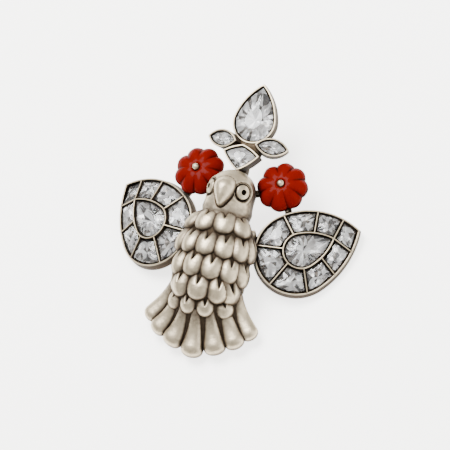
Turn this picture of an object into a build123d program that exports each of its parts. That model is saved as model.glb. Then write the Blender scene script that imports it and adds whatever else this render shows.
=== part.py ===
from build123d import *
import math
import os

os.makedirs("parts", exist_ok=True)

# A silver bird brooch, in millimetres.
#
# The pieces are worked out in the brooch's own frame: X to the viewer's right, Y up
# from the tail to the crest, Z out of the front. The left half mirrors the right half.
# At the end the whole brooch is laid down as it rests by itself, on its two wing tips
# and its tail, with +Z straight up and the origin under the middle of it.

# Clearances
piece_gap = 0.05           # between pieces that are held, not soldered
solder_lap = 0.35          # how far soldered pieces are let into each other

# The bird casting
head_top_y = 10.3          # highest point of the head
bird_length = 43.9         # head top to the end of the tail
body_half_width = 9.4
body_height = 11.8         # flat back to the highest line of the breast
back_z = -3.6              # the flat back
plume_height = 0.95        # how far a feather stands out of the body
plume_half_width = 2.42
plume_half_length = 3.7
plume_lift = 0.35          # how far a feather's tip stands above its root
plume_pitch = 29.0         # degrees round the body from one feather to the next
plume_taper = 0.22         # share by which a feather is narrower at its root
plume_roundness = 0.45     # power of a feather's arch: lower is flatter on top
notch_depth = 0.7          # the cleft at the top of each feather
notch_flare = 0.34         # how fast it widens towards the root
notch_end = 0.12           # and where it ends, as a share of half a feather
rib_pitch = 22.0           # degrees round the tail from one rib to the next
rib_height = 1.0
rib_onset = 0.25           # share of the tail over which the ribs come up to full height
rib_count = 7
fan_edge = 72.0            # degrees past which the tail's sides are carried no further
scallop_depth = 1.5        # how far the rib ends stand past the valleys
beak_drop = 2.6            # from the head top down to where the beak leaves the brow
beak_length = 7.6
beak_half_width = 2.5
beak_height = 2.3
eye_radius = 1.7
eye_height = 0.12          # the disc's edge stands this far out of the head
eye_dome = 0.35            # and its middle this much further
eye_groove = 0.3           # dark groove round the disc
eye_groove_depth = 0.8
eye_angle = 47.0           # degrees from straight ahead
pupil_radius = 0.45
pupil_depth = 0.9

# Sections of the bird, from the middle of the head to the end of the tail. Each length
# is a share: along of bird_length from the head top, width of body_half_width, and
# middle (the height of the widest line) and crest of body_height above back_z. sweep is
# how far the sides are carried forward, as a share of bird_length, and under the width of
# the flat back as a share of the section's width.
SECTIONS = [
    # along, width, middle, crest, sweep, under
    (0.125, 0.596, 0.407, 0.881, 0.000, 0.52),
    (0.212, 0.585, 0.407, 0.845, 0.000, 0.52),
    (0.257, 0.590, 0.411, 0.810, 0.000, 0.52),
    (0.303, 0.740, 0.420, 0.830, 0.000, 0.53),
    (0.349, 0.855, 0.430, 0.855, 0.000, 0.56),
    (0.431, 0.905, 0.437, 0.905, 0.000, 0.60),
    (0.554, 0.930, 0.437, 0.930, 0.000, 0.62),
    (0.674, 0.920, 0.410, 0.860, 0.080, 0.64),
    (0.770, 0.900, 0.330, 0.680, 0.190, 0.70),
    (0.884, 1.140, 0.205, 0.420, 0.230, 0.85),
    (1.000, 1.470, 0.150, 0.290, 0.262, 0.93),
]
tail_break = 0.770         # the flat back turns up from this section on
tail_back_rise = 1.2       # how far it has risen at the end of the tail
tail_start = 0.795         # the ribs come out from under the feathers here
tail_full = 0.985          # from here on the tail rounds over into its edge

# How finely the casting is divided: points round its front, sections of the head's dome
# in degrees from its top, and sections from there to the face, the tail and its edge
front_steps = 46
HEAD_TURNS = [13, 25, 37, 49, 61, 72, 82]
face_steps = 12
body_steps = 36
tail_steps = 14
TAIL_LIP = [
    # along, thickness
    (0.994, 0.75),
    (1.000, 0.30),
]
UNDER_STEPS = [0.42, 0.75, 1.0]        # from the widest line down to the flat back

# Rows of feathers: where the tips lie, as a share of bird_length from the head top,
# how many feathers the row has, and their size as a share of a full feather.
PLUME_ROWS = [
    # tip, feathers, size
    (0.364, 6, 0.98),
    (0.487, 7, 1.00),
    (0.617, 6, 1.00),
    (0.742, 7, 0.98),
    (0.812, 6, 0.80),
]

# The beak from its root to its tip, as shares of beak_length, beak_half_width and
# beak_height
BEAK = [
    # along, width, height
    (0.00, 0.30, 0.00),
    (0.10, 0.75, 0.50),
    (0.28, 1.00, 0.90),
    (0.55, 0.86, 1.00),
    (0.80, 0.52, 0.90),
    (0.95, 0.30, 0.60),
    (1.00, 0.15, 0.00),
]

# The wings: a flat tray with a raised pear in the middle and eight cells round it
wing_reach = 15.56         # middle of the belly circle to the tip
wing_belly = 9.38          # radius of the belly
wing_upper_arc = 16.5
wing_lower_arc = 22.0
wing_tuck = 1.39           # the belly is let this far into the body's half width
wing_drop = 15.55          # head top down to the middle of the belly
wing_rise = 0.53           # the middle of the belly above the flat back
wing_axis = (0.7556, 0.587, -0.290)
wing_front = (0.3195, 0.056, 0.946)
tray_depth = 2.0
tray_floor = 0.7           # thickness of the back of the tray
tray_draft = 0.35          # the back of the tray is this much larger all round
rim_wall = 0.36
cell_wall = 0.30
pear_lift = 1.6            # the pear's wall stands this far above the rim
pear_reach = 8.0
pear_belly = 4.12
pear_arc = 12.7
pear_shift = 1.14          # from the belly of the wing to the belly of the pear

# Walls between the cells, in degrees from the wing's axis: where each meets the rim,
# seen from the middle of the wing's belly, and the pear, seen from the pear's belly
CELL_WALLS = [
    # at_rim, at_pear
    (42.0, 33.0),
    (86.0, 93.0),
    (146.0, 151.0),
    (208.0, 202.0),
    (264.0, 257.0),
    (310.0, 320.0),
]
tip_cell_upper = 15.5      # where the two walls that cross at the pear's tip meet the rim
tip_cell_lower = -18.4

# The crest: a large pear, two marquises and a spade, in deep cups. Heights are from
# the spade's point, which is soldered to the head top.
crest_back_z = -3.0
cup_wall = 0.38
cup_floor = 0.7
spade_lap = 0.25           # how far the spade's point reaches into the head
spade_half_width = 4.47
spade_shoulder = 4.15      # height of its two side corners
spade_height = 6.3
spade_z = 2.4
spade_depth = 3.1          # its cup is shallower than the others
spade_side_bulge = 0.35
spade_top_bulge = 0.28
marquise_length = 7.9
marquise_width = 4.3
marquise_out = 6.22        # from the middle line to the middle of the stone
marquise_height = 7.25
marquise_z = 0.36
marquise_tilt = 15.6       # degrees, its outer end lies back
marquise_turn = 2.8        # degrees, its outer end points up
crest_pear_height = 7.52   # height of its belly's edge
crest_pear_z = -0.6
crest_pear_reach = 9.1
crest_pear_belly = 5.0
crest_pear_arc = 14.0
web_half_width = 3.4       # the soldered web that fills the gap between the cups
web_bottom = 4.5
web_top = 9.3
web_z = 0.2
neck_half_width = 1.3      # the block that carries the crest on the back of the head
neck_bottom = -1.4
neck_top = 2.2
neck_z = -0.2

# Cut stones
stone_gap = 0.28           # dark gap between a stone and the wall round it
girdle_height = 0.16
girdle_sink = 0.22         # the girdle lies this far below the wall's top
table_share = 0.52         # the table's width as a share of the stone's
cell_crown = 0.62          # height of the crown over the girdle
cell_pavilion = 1.05       # depth of the point under the girdle
wing_pear_crown = 0.95
wing_pear_pavilion = 1.9
crest_pear_crown = 1.15
crest_pear_pavilion = 1.15
marquise_crown = 0.8
marquise_pavilion = 1.2
spade_crown = 0.8
spade_pavilion = 1.6
tip_stone_low = 0.6        # the tip cell's stone lies this much lower at the pear
tip_stone_dip = 0.35       # and this much below the rim at the wing's tip
rim_chords = 3             # straight edges of a stone along the rim
pear_sides = 16
marquise_side_points = 5
spade_side_points = 3

# The coral flowers, each on a seat with a ball-headed pin through it
flower_tuck = 0.97         # the outline overlaps the head's side this much
flower_drop = 1.2          # from the head top down to the flower's middle
flower_rise = 1.4          # the widest line above the flat back
flower_tilt_up = 9.0       # degrees the flower looks up towards the crest
flower_tilt_out = 4.5      # degrees it looks outwards
flower_radius = 5.7
flower_lobes = 8
flower_groove_right = 31.0 # degrees from the outward axis to the first groove
flower_groove_left = 39.0
flower_lobe_steps = 6
groove_depth = 0.62        # the outline draws in this far at each groove
groove_sink = 0.85         # and the top sinks this far
flower_top = 2.5           # above the widest line
flower_bottom = 1.75       # below it
dimple_radius = 1.25
dimple_depth = 0.7
flower_bore = 0.60
pin_radius = 0.45
pin_fit = 0.06             # the pin clears the seat's hole by this much
ball_radius = 0.80
ball_height = 2.7          # the ball's middle above the widest line
seat_radius = 2.3
seat_height = 0.9
arm_width = 1.6
arm_thick = 0.9
arm_drop = 0.33            # the arm's end lies this far below the seat's middle
arm_reach = 3.0            # how far the arm runs into the underside of the head
arm_down = 4.3             # from the head top down to the arm's end
arm_rise = 1.0             # the arm's end above the flat back
brace_angle = 78.0         # where the brace meets the wing, in degrees from its axis
brace_reach = 0.6          # how far the brace runs under the tray
bead_angle = 80.8
bead_radius = 0.65
bead_stand = 0.55          # the bead's middle outside the rim
bead_sink = 0.45           # and below its top
stub_radius = 0.5
stub_down = 3.6            # from the head top down to the stub
stub_rise = 2.3            # the stub above the flat back

# The pin on the back, one plain piece
fitting_gap = 0.05         # between the back and the pin's bar
fitting_down = 15.9        # from the head top down to the pin
fitting_length = 12.6
fitting_width = 3.0
fitting_thick = 0.8
fitting_stand = 2.6        # height of the two ends under the bar
fitting_end = 1.5          # length of each end
fitting_wire = 1.0

# Heights of the rings of a flower's surface, in degrees of latitude from its widest line
FLOWER_LATITUDES = [67, 57, 45, 31, 16, 0, -22, -45, -63]


# Helpers


def interpolate(rows, at, column):
    """Smooth value of one column of a table of sections at a share along it."""
    if at <= rows[0][0]:
        return rows[0][column]
    if at >= rows[-1][0]:
        return rows[-1][column]
    i = max(k for k in range(len(rows) - 1) if rows[k][0] <= at)

    def slope(k):
        low, high = max(k - 1, 0), min(k + 1, len(rows) - 1)
        return (rows[high][column] - rows[low][column]) / (rows[high][0] - rows[low][0])

    step = rows[i + 1][0] - rows[i][0]
    t = (at - rows[i][0]) / step
    start = (2 * t**3 - 3 * t**2 + 1) * rows[i][column]
    leave = (t**3 - 2 * t**2 + t) * step * slope(i)
    end = (3 * t**2 - 2 * t**3) * rows[i + 1][column]
    arrive = (t**3 - t**2) * step * slope(i + 1)
    return start + leave + end + arrive


def polygon(points):
    return Face(Wire.make_polygon(points, close=True))


def solid_of(faces):
    return Solid(Shell(faces))


def strip(low, high):
    """Triangles between two rows of as many points."""
    faces = []
    for i in range(len(low) - 1):
        faces.append(polygon([low[i], high[i], low[i + 1]]))
        faces.append(polygon([low[i + 1], high[i], high[i + 1]]))
    return faces


def polar(radius, degrees, middle=(0.0, 0.0)):
    angle = math.radians(degrees)
    return (middle[0] + radius * math.cos(angle), middle[1] + radius * math.sin(angle))


def both_sides(name, solid):
    """A piece of the right half and its mirror image in the left half."""
    return {name + "_right": solid, name + "_left": mirror(solid, about=Plane.YZ)}


def meeting(first, first_radius, second, second_radius, near):
    """The point where two circles meet, of the two the one nearest to a place."""
    dx, dy = second[0] - first[0], second[1] - first[1]
    apart = math.hypot(dx, dy)
    along = (first_radius**2 - second_radius**2 + apart**2) / (2 * apart)
    off = math.sqrt(first_radius**2 - along**2)
    ux, uy = dx / apart, dy / apart
    foot = (first[0] + along * ux, first[1] + along * uy)
    ends = [(foot[0] - off * uy, foot[1] + off * ux), (foot[0] + off * uy, foot[1] - off * ux)]
    return min(ends, key=lambda end: math.dist(end, near))


def between(a, b, share=0.5):
    return tuple(p + (q - p) * share for p, q in zip(a, b))


# Outlines of stones and cups. Each knows its face, its points and its own inset.


class Pear:
    """A belly circle about (0, 0) and two side arcs that meet at a tip on +X."""

    def __init__(self, reach, belly, upper, lower, inset=0.0):
        self.sizes = (reach, belly, upper, lower)
        self.belly = belly - inset
        self.centres = []
        self.radii = []
        for radius, side in ((upper, -1), (lower, 1)):
            x = ((radius - belly) ** 2 - radius**2 + reach**2) / (2 * reach)
            self.centres.append((x, side * math.sqrt((radius - belly) ** 2 - x**2)))
            self.radii.append(radius - inset)
        (first, second), (first_radius, second_radius) = self.centres, self.radii
        self.tip = meeting(first, first_radius, second, second_radius, (reach, 0.0))
        self.tangents = []
        for x, y in self.centres:
            share = self.belly / math.hypot(x, y)
            self.tangents.append((-x * share, -y * share))

    def inset(self, amount):
        return Pear(*self.sizes, inset=amount)

    def radius_at(self, degrees):
        """Distance of the outline from the belly's middle in one direction."""
        dx, dy = polar(1.0, degrees)
        side = 0 if dy >= 0 else 1
        tx, ty = self.tangents[side]
        if math.atan2(abs(dy), dx) >= math.atan2(abs(ty), tx):
            return self.belly
        cx, cy = self.centres[side]
        along = dx * cx + dy * cy
        return along + math.sqrt(along**2 - cx**2 - cy**2 + self.radii[side] ** 2)

    def point_at(self, degrees):
        return polar(self.radius_at(degrees), degrees)

    def face(self):
        upper, lower = self.tangents
        edges = [ThreePointArc(upper, (-self.belly, 0), lower)]
        for side, start, end in ((1, lower, self.tip), (0, self.tip, upper)):
            centre = self.centres[side]
            middle = between(start, end)
            share = self.radii[side] / math.dist(centre, middle)
            edges.append(ThreePointArc(start, between(centre, middle, share), end))
        return Face(Wire(edges))

    def points(self, count):
        return [self.point_at(360.0 * i / count) if i else self.tip for i in range(count)]


class ArcOutline:
    """A closed outline of arcs that bulge outwards between its corners."""

    def __init__(self, corners, bulges, inset=0.0):
        self.given = (corners, bulges)
        self.centres = []
        self.radii = []
        for i, (a, bulge) in enumerate(zip(corners, bulges)):
            b = corners[(i + 1) % len(corners)]
            chord = math.dist(a, b)
            radius = (chord**2 / 4 + bulge**2) / (2 * bulge)
            share = (radius - bulge) / chord
            mx, my = between(a, b)
            self.centres.append((mx - (b[1] - a[1]) * share, my + (b[0] - a[0]) * share))
            self.radii.append(radius - inset)
        self.corners = []
        for i, corner in enumerate(corners):
            self.corners.append(meeting(self.centres[i - 1], self.radii[i - 1],
                                        self.centres[i], self.radii[i], corner))

    def inset(self, amount):
        return ArcOutline(*self.given, inset=amount)

    def side_point(self, side, share):
        """A point of one side's arc, at a share of the way along it."""
        a, b = self.corners[side], self.corners[(side + 1) % len(self.corners)]
        centre = self.centres[side]
        start = math.atan2(a[1] - centre[1], a[0] - centre[0])
        turn = 2 * math.asin(math.dist(a, b) / 2 / self.radii[side])
        return polar(self.radii[side], math.degrees(start + turn * share), centre)

    def face(self):
        edges = []
        for i, a in enumerate(self.corners):
            b = self.corners[(i + 1) % len(self.corners)]
            edges.append(ThreePointArc(a, self.side_point(i, 0.5), b))
        return Face(Wire(edges))

    def points(self, per_side):
        return [self.side_point(i, k / per_side)
                for i in range(len(self.corners)) for k in range(per_side)]


def drafted(top_face, bottom_face, top_z, bottom_z):
    """A block between two outlines of as many edges, one above the other."""
    return loft([Pos(0, 0, bottom_z) * bottom_face, Pos(0, 0, top_z) * top_face], ruled=True)


def prism(face, bottom_z, top_z):
    return extrude(Pos(0, 0, bottom_z) * face, top_z - bottom_z)


def block(low, high):
    """A box between two opposite corners."""
    sizes = [b - a for a, b in zip(low, high)]
    return Pos(*between(low, high)) * Box(*sizes)


def bar(start, end, width, thick):
    """A flat bar whose middle line runs from one point to another."""
    along = Vector(*end) - Vector(*start)
    across = Vector(0, 0, 1).cross(along)
    plane = Plane(origin=between(start, end), x_dir=along, z_dir=along.cross(across))
    return plane * Box(along.length, width, thick)


# The bird, as rings of points from the head top to the end of the tail


def plume_relief(angle, along, half_width):
    """Height of the feathers above the body at one place."""
    best = 0.0
    for tip, count, size in PLUME_ROWS:
        half_length = plume_half_length * size
        b = (along * bird_length - tip * bird_length + half_length) / half_length
        if abs(b) >= 1:
            continue
        first = -(count - 1) / 2
        for k in range(count):
            centre = math.radians((first + k) * plume_pitch)
            taper = 1.0 if b > 0 else 1 + plume_taper * b
            a = (angle - centre) * half_width / (plume_half_width * size * taper)
            inside = 1 - a * a - b * b
            if inside <= 0:
                continue
            height = plume_height * size * inside**plume_roundness + plume_lift * b
            notch_half = notch_flare * (notch_end - b)
            if notch_half > 0:
                height -= notch_depth * max(0.0, 1 - abs(a) / notch_half)
            best = max(best, height)
    return best


def rib_across(angle):
    """How far a place on the tail is from the middle of its rib, 0 to 1."""
    pitch = math.radians(rib_pitch)
    outermost = rib_count // 2
    k = max(-outermost, min(outermost, round(angle / pitch)))
    past = abs(angle) - outermost * pitch
    if past > 0:
        return min(1.0, past / (math.pi / 2 - outermost * pitch))
    return min(1.0, abs(angle - k * pitch) / (pitch / 2))


def beak_relief(x, y):
    """Height of the beak above the face."""
    t = (head_top_y - beak_drop - y) / beak_length
    if t <= 0 or t >= 1:
        return 0.0
    across = abs(x) / (beak_half_width * interpolate(BEAK, t, 1))
    if across >= 1:
        return 0.0
    return beak_height * interpolate(BEAK, t, 2) * (1 - across**2) ** 0.5


head_share, face_share = SECTIONS[0][0], SECTIONS[2][0]
head_drop = head_share * bird_length           # head top down to the middle of the head
head_side = SECTIONS[0][1] * body_half_width
head_middle_y = head_top_y - head_drop
head_middle_z = back_z + SECTIONS[0][2] * body_height
fan_limit = math.radians(fan_edge)
front_angles = [math.radians(-90 + 180 * k / front_steps) for k in range(front_steps + 1)]


def carried_y(along, angle):
    """Y of a point of one section, whose sides are carried forward."""
    sweep = interpolate(SECTIONS, along, 4) * bird_length
    return head_top_y - along * bird_length + sweep * (1 - math.cos(min(abs(angle), fan_limit)))


tail_break_y = carried_y(tail_break, fan_limit)
tail_end_y = carried_y(1.0, 0.0)


def back_height(y):
    share = (tail_break_y - y) / (tail_break_y - tail_end_y)
    return back_z + tail_back_rise * max(0.0, share)


def under_width(down, under):
    """Share of a section's width that is left at a share of the way to the flat back."""
    return math.sqrt(1 - down**2 * (1 - under**2))


def under_side(point, section_middle, under, relief):
    """Points of one side, from its widest place round under to the flat back."""
    x, y, z = point
    points = []
    for down in UNDER_STEPS:
        width = under_width(down, under)
        low_x = x * width * (1 - relief * down)
        low_y = y
        if y > head_middle_y:
            low_y = head_middle_y + (y - head_middle_y) * width
        points.append((low_x, low_y, section_middle + (back_height(y) - section_middle) * down))
    return points


def ring(along, thickness=1.0):
    """Points round one section, from the left edge of the flat back to the right edge."""
    width, middle, crest, under = [interpolate(SECTIONS, along, column) for column in (1, 2, 3, 5)]
    rise = max(0.0, (head_drop - along * bird_length) / head_drop)
    cap = math.sqrt(max(0.0, 1 - rise**2))
    share = max(0.0, (along - tail_start) / (1 - tail_start))
    half_width = width * body_half_width * cap
    middle_z = back_z + middle * body_height
    height = (crest - middle) * body_height * cap * thickness
    front = []
    for angle in front_angles:
        across = rib_across(angle)
        y = carried_y(along, angle) + scallop_depth * across**2 * share**3
        relief = plume_relief(angle, (head_top_y - y) / bird_length, half_width)
        rib = rib_height * min(1.0, share / rib_onset)
        relief = max(relief, rib * (1 - across**2) ** 0.5)
        radial = relief * thickness
        x = (half_width + radial) * math.sin(angle)
        z = middle_z + (height + radial) * math.cos(angle) + beak_relief(x, y)
        front.append((x, y, z))
    left = under_side(front[0], middle_z, under, 1 - half_width / abs(front[0][0]))
    right = under_side(front[-1], middle_z, under, 1 - half_width / abs(front[-1][0]))
    return left[::-1] + front + right


def bird_solid():
    """The casting: head, feathered body and ribbed tail, with a flat back."""
    stations = [head_share * (1 - math.cos(math.radians(a))) for a in HEAD_TURNS]
    stations += [head_share + (face_share - head_share) * k / face_steps
                 for k in range(face_steps + 1)]
    stations += [face_share + (tail_break - face_share) * k / body_steps
                 for k in range(1, body_steps + 1)]
    turn = len(stations)
    stations += [tail_break + (tail_full - tail_break) * k / tail_steps
                 for k in range(1, tail_steps + 1)]
    rings = [ring(along) for along in stations]
    rings += [ring(along, thickness) for along, thickness in TAIL_LIP]
    faces = []
    for low, high in zip(rings, rings[1:]):
        faces += strip(low, high)
    top = (0.0, head_top_y, head_middle_z)
    heel = under_side(top, head_middle_z, SECTIONS[0][5], 0.0)
    first, last = rings[0], rings[-1]
    steps = len(UNDER_STEPS)
    dome = first[steps:-steps]
    faces += [polygon([top, a, b]) for a, b in zip(dome, dome[1:])]
    faces += strip([top] + heel, first[steps::-1])
    faces += strip(first[-steps - 1:], [top] + heel)
    left = [points[0] for points in rings]
    right = [points[-1] for points in rings]
    tail = last[steps:-steps]
    drawn_in = right[-1][0] / tail[-1][0]
    tail_row = [(x * drawn_in, y, back_height(y)) for x, y, _ in tail[1:-1]]
    faces += strip(tail, left[-1:] + tail_row + right[-1:])
    faces.append(polygon(last[:steps + 1]))
    faces.append(polygon(last[-steps - 1:]))
    faces.append(polygon(left[:turn] + right[:turn][::-1] + heel[-1:]))
    faces.append(polygon(left[turn - 1:] + tail_row + right[turn - 1:][::-1]))
    return solid_of(faces)


# The eyes


eye_plane = Plane(origin=(0, head_middle_y, head_middle_z), x_dir=(0, 1, 0),
                  z_dir=(math.sin(math.radians(eye_angle)), 0, math.cos(math.radians(eye_angle))))
ON_TOP = (Align.CENTER, Align.CENTER, Align.MIN)


def eye_pocket():
    floor = head_side - eye_groove_depth
    depth = eye_groove_depth + beak_height
    return eye_plane * Pos(0, 0, floor) * Cylinder(eye_radius + eye_groove, depth, align=ON_TOP)


def eye_disc():
    """A domed disc with a drilled pupil, let into the pocket's floor."""
    floor = head_side - eye_groove_depth - solder_lap
    top = head_side + eye_height + eye_dome
    ball = (eye_radius**2 + eye_dome**2) / (2 * eye_dome)
    disc = Pos(0, 0, floor) * Cylinder(eye_radius, top - floor, align=ON_TOP)
    disc = disc & Pos(0, 0, top - ball) * Sphere(ball)
    disc -= Pos(0, 0, top - pupil_depth) * Cylinder(pupil_radius, pupil_depth, align=ON_TOP)
    return eye_plane * disc


# The right wing, in a frame with X along its axis and Z out of its front


wing_middle = (body_half_width + wing_belly - wing_tuck, head_top_y - wing_drop,
               back_z + wing_rise)
wing_plane = Plane(origin=wing_middle, x_dir=wing_axis, z_dir=wing_front)
wing = Pear(wing_reach, wing_belly, wing_upper_arc, wing_lower_arc)
wing_pear = Pear(pear_reach, pear_belly, pear_arc, pear_arc)
tray_floor_z = tray_floor - tray_depth


WALLS = [(tip_cell_upper, 0.0)] + CELL_WALLS + [(tip_cell_lower + 360, 360.0)]


def pear_wall_point(degrees):
    x, y = wing_pear.point_at(degrees)
    return (x + pear_shift, y)


def cell_partition(at_rim, at_pear):
    """A wall between two cells: its top falls from the pear's wall to the rim."""
    start, end = pear_wall_point(at_pear), wing.point_at(at_rim)
    length = math.dist(start, end)
    side = [(0, tray_floor_z - solder_lap), (length - rim_wall / 2, tray_floor_z - solder_lap),
            (length - rim_wall / 2, 0), (0, pear_lift)]
    plane = Plane(origin=(*start, 0), x_dir=(end[0] - start[0], end[1] - start[1], 0),
                  z_dir=(end[1] - start[1], start[0] - end[0], 0))
    return extrude(plane * make_face(Polyline(*side, close=True)), cell_wall / 2, both=True)


def wing_tray():
    tray = drafted(wing.face(), wing.inset(-tray_draft).face(), 0, -tray_depth)
    tray -= prism(wing.inset(rim_wall).face(), tray_floor_z, 1)
    pear_wall = prism(wing_pear.inset(-cell_wall / 2).face(), tray_floor_z - solder_lap, pear_lift)
    pear_wall -= prism(wing_pear.inset(cell_wall / 2).face(), tray_floor_z - 1, pear_lift + 1)
    tray += Pos(pear_shift, 0, 0) * pear_wall
    for at_rim, at_pear in WALLS:
        tray += cell_partition(at_rim, at_pear)
    return wing_plane * tray


# Cut stones


def cut_stone(outline, level, crown, pavilion):
    """A table, two rows of crown facets, a girdle and a pavilion that ends in a point.

    The outline runs anticlockwise, and level gives the height of the girdle's top.
    """
    count = len(outline)
    cx, cy = [sum(point[k] for point in outline) / count for k in (0, 1)]
    upper = [(x, y, level(x, y)) for x, y in outline]
    lower = [(x, y, z - girdle_height) for x, y, z in upper]
    table = []
    for i, point in enumerate(outline):
        x, y = between((cx, cy), between(point, outline[(i + 1) % count]), table_share)
        table.append((x, y, level(x, y) + crown))
    culet = (cx, cy, level(cx, cy) - girdle_height - pavilion)
    faces = [polygon(table)]
    for i in range(count):
        j = (i + 1) % count
        faces.append(polygon([upper[i], upper[j], table[i]]))
        faces.append(polygon([upper[j], table[j], table[i]]))
        faces.append(polygon([lower[i], lower[j], upper[j], upper[i]]))
        faces.append(polygon([lower[j], lower[i], culet]))
    return solid_of(faces)


def flat_stone(outline, crown, pavilion):
    return cut_stone(outline, lambda x, y: -girdle_sink, crown, pavilion)


def moved_in(corners, insets):
    """Corners of a convex polygon, each of whose edges is moved in by its own amount."""
    lines = []
    for i, (a, inset) in enumerate(zip(corners, insets)):
        b = corners[(i + 1) % len(corners)]
        dx, dy = [(q - p) / math.dist(a, b) for p, q in zip(a, b)]
        lines.append((-dy, dx, -dy * a[0] + dx * a[1] + inset))
    result = []
    for i, (nx, ny, n) in enumerate(lines):
        mx, my, m = lines[i - 1]
        scale = mx * ny - my * nx
        result.append(((m * ny - n * my) / scale, (mx * n - nx * m) / scale))
    return result


def fitted_stone(rim_points, starts, bulge, high_level, low_level):
    """The stone of a cell, from its corners on the rim and where its walls start."""
    beside_wall = cell_wall / 2 + stone_gap
    insets = [stone_gap] * (len(rim_points) - 1) + [beside_wall]
    if len(starts) == 2:
        insets.append(beside_wall + bulge)
    insets.append(beside_wall)
    corners = moved_in(rim_points + starts, insets)
    last = len(rim_points) - 1
    inner = between(starts[0], starts[-1])
    outer = between(rim_points[last // 2], rim_points[(last + 1) // 2])

    def level(x, y):
        """Height of the girdle: it falls evenly from the pear's wall to the rim."""
        share = sum((p - a) * (b - a) for p, a, b in zip((x, y), inner, outer))
        share /= math.dist(inner, outer) ** 2
        return high_level + (low_level - high_level) * share - girdle_sink

    outline = []
    for i, corner in enumerate(corners):
        outline.append(corner)
        if i >= last:
            outline.append(between(corner, corners[(i + 1) % len(corners)]))
    return wing_plane * cut_stone(outline, level, cell_crown, cell_pavilion)


def bulge_of(low, high, start, end):
    """How far the pear's wall stands out past the straight line between two places."""
    angles = [low + (high - low) * k / pear_sides for k in range(pear_sides + 1)]
    dx, dy = [(b - a) / math.dist(start, end) for a, b in zip(start, end)]
    return max((x - start[0]) * dy - (y - start[1]) * dx for x, y in map(pear_wall_point, angles))


def cell_stones():
    """The stones round the pear, anticlockwise from the one at the wing's tip."""
    rim = wing.inset(rim_wall)
    tip_rim = [rim.point_at(tip_cell_lower), rim.tip, rim.point_at(tip_cell_upper)]
    stones = [fitted_stone(tip_rim, [pear_wall_point(0)], 0,
                           pear_lift - tip_stone_low, -tip_stone_dip)]
    for (low_rim, low), (high_rim, high) in zip(WALLS, WALLS[1:]):
        step = (high_rim - low_rim) / rim_chords
        rim_points = [rim.point_at(low_rim + step * k) for k in range(rim_chords + 1)]
        starts = [pear_wall_point(high), pear_wall_point(low)]
        bulge = bulge_of(low, high, starts[1], starts[0])
        stones.append(fitted_stone(rim_points, starts, bulge, pear_lift, 0))
    return stones


def wing_pear_stone():
    outline = wing_pear.inset(cell_wall / 2 + stone_gap).points(pear_sides)
    stone = flat_stone(outline, wing_pear_crown, wing_pear_pavilion)
    return wing_plane * Pos(pear_shift, 0, pear_lift) * stone


# The crest


spade_point_y = head_top_y - spade_lap
crest_pear = Pear(crest_pear_reach, crest_pear_belly, crest_pear_arc, crest_pear_arc)
crest_pear_plane = Plane(
    origin=(0, spade_point_y + crest_pear_height + crest_pear_belly, crest_pear_z),
    x_dir=(0, 1, 0), z_dir=(0, 0, 1))
marquise = ArcOutline([(marquise_length / 2, 0), (-marquise_length / 2, 0)],
                      [marquise_width / 2, marquise_width / 2])
marquise_location = Pos(marquise_out, spade_point_y + marquise_height, marquise_z) * Rot(
    0, marquise_tilt, marquise_turn)
spade = ArcOutline(
    [(0, 0), (spade_half_width, spade_shoulder), (0, spade_height), (-spade_half_width, spade_shoulder)],
    [spade_side_bulge, spade_top_bulge, spade_top_bulge, spade_side_bulge])
spade_location = Pos(0, spade_point_y, spade_z)


# Each cup's place, outline and the height of its back
CUPS = [
    (crest_pear_plane, crest_pear, crest_back_z),
    (marquise_location, marquise, crest_back_z),
    (spade_location, spade, spade_z - spade_depth),
]


def above(low_z):
    """All the space over one height."""
    return block((-bird_length, -bird_length, low_z), (bird_length, bird_length, bird_length))


def crest():
    """The cups, with the web between them and the neck on the back of the head."""
    deep = 2 * (spade_z - crest_back_z)
    cups = [(place * prism(outline.face(), -deep, 0)) & above(low_z)
            for place, outline, low_z in CUPS]
    holes = [(place * prism(outline.inset(cup_wall).face(), -deep, 1)) & above(low_z + cup_floor)
             for place, outline, low_z in CUPS]
    cups.append(mirror(cups[1], about=Plane.YZ))
    holes.append(mirror(holes[1], about=Plane.YZ))
    web = block((-web_half_width, spade_point_y + web_bottom, crest_back_z),
                (web_half_width, spade_point_y + web_top, web_z))
    neck = block((-neck_half_width, spade_point_y + neck_bottom, crest_back_z),
                 (neck_half_width, spade_point_y + neck_top, neck_z))
    solid = web
    for cup in cups:
        solid += cup
    for hole in holes:
        solid -= hole
    return solid + neck


def crest_stones():
    inset = cup_wall + stone_gap
    pear = flat_stone(crest_pear.inset(inset).points(pear_sides), crest_pear_crown,
                      crest_pear_pavilion)
    pointed = flat_stone(marquise.inset(inset).points(marquise_side_points), marquise_crown,
                         marquise_pavilion)
    square = flat_stone(spade.inset(inset).points(spade_side_points), spade_crown, spade_pavilion)
    stones = {"crest_pear": crest_pear_plane * pear, "crest_spade": spade_location * square}
    stones.update(both_sides("crest_marquise", marquise_location * pointed))
    return stones


# The coral flowers, with their seats and pins


flower_middle = (head_side + flower_radius - flower_tuck, head_top_y - flower_drop,
                 back_z + flower_rise)
flower_front = Vector(math.sin(math.radians(flower_tilt_out)),
                      math.sin(math.radians(flower_tilt_up)), 1).normalized()
flower_right = Vector(1, 0, 0) - flower_front * flower_front.X
flower_plane = Plane(origin=flower_middle, x_dir=flower_right, z_dir=flower_front)
seat_top = -flower_bottom - piece_gap
seat_bottom = seat_top - seat_height


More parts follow.
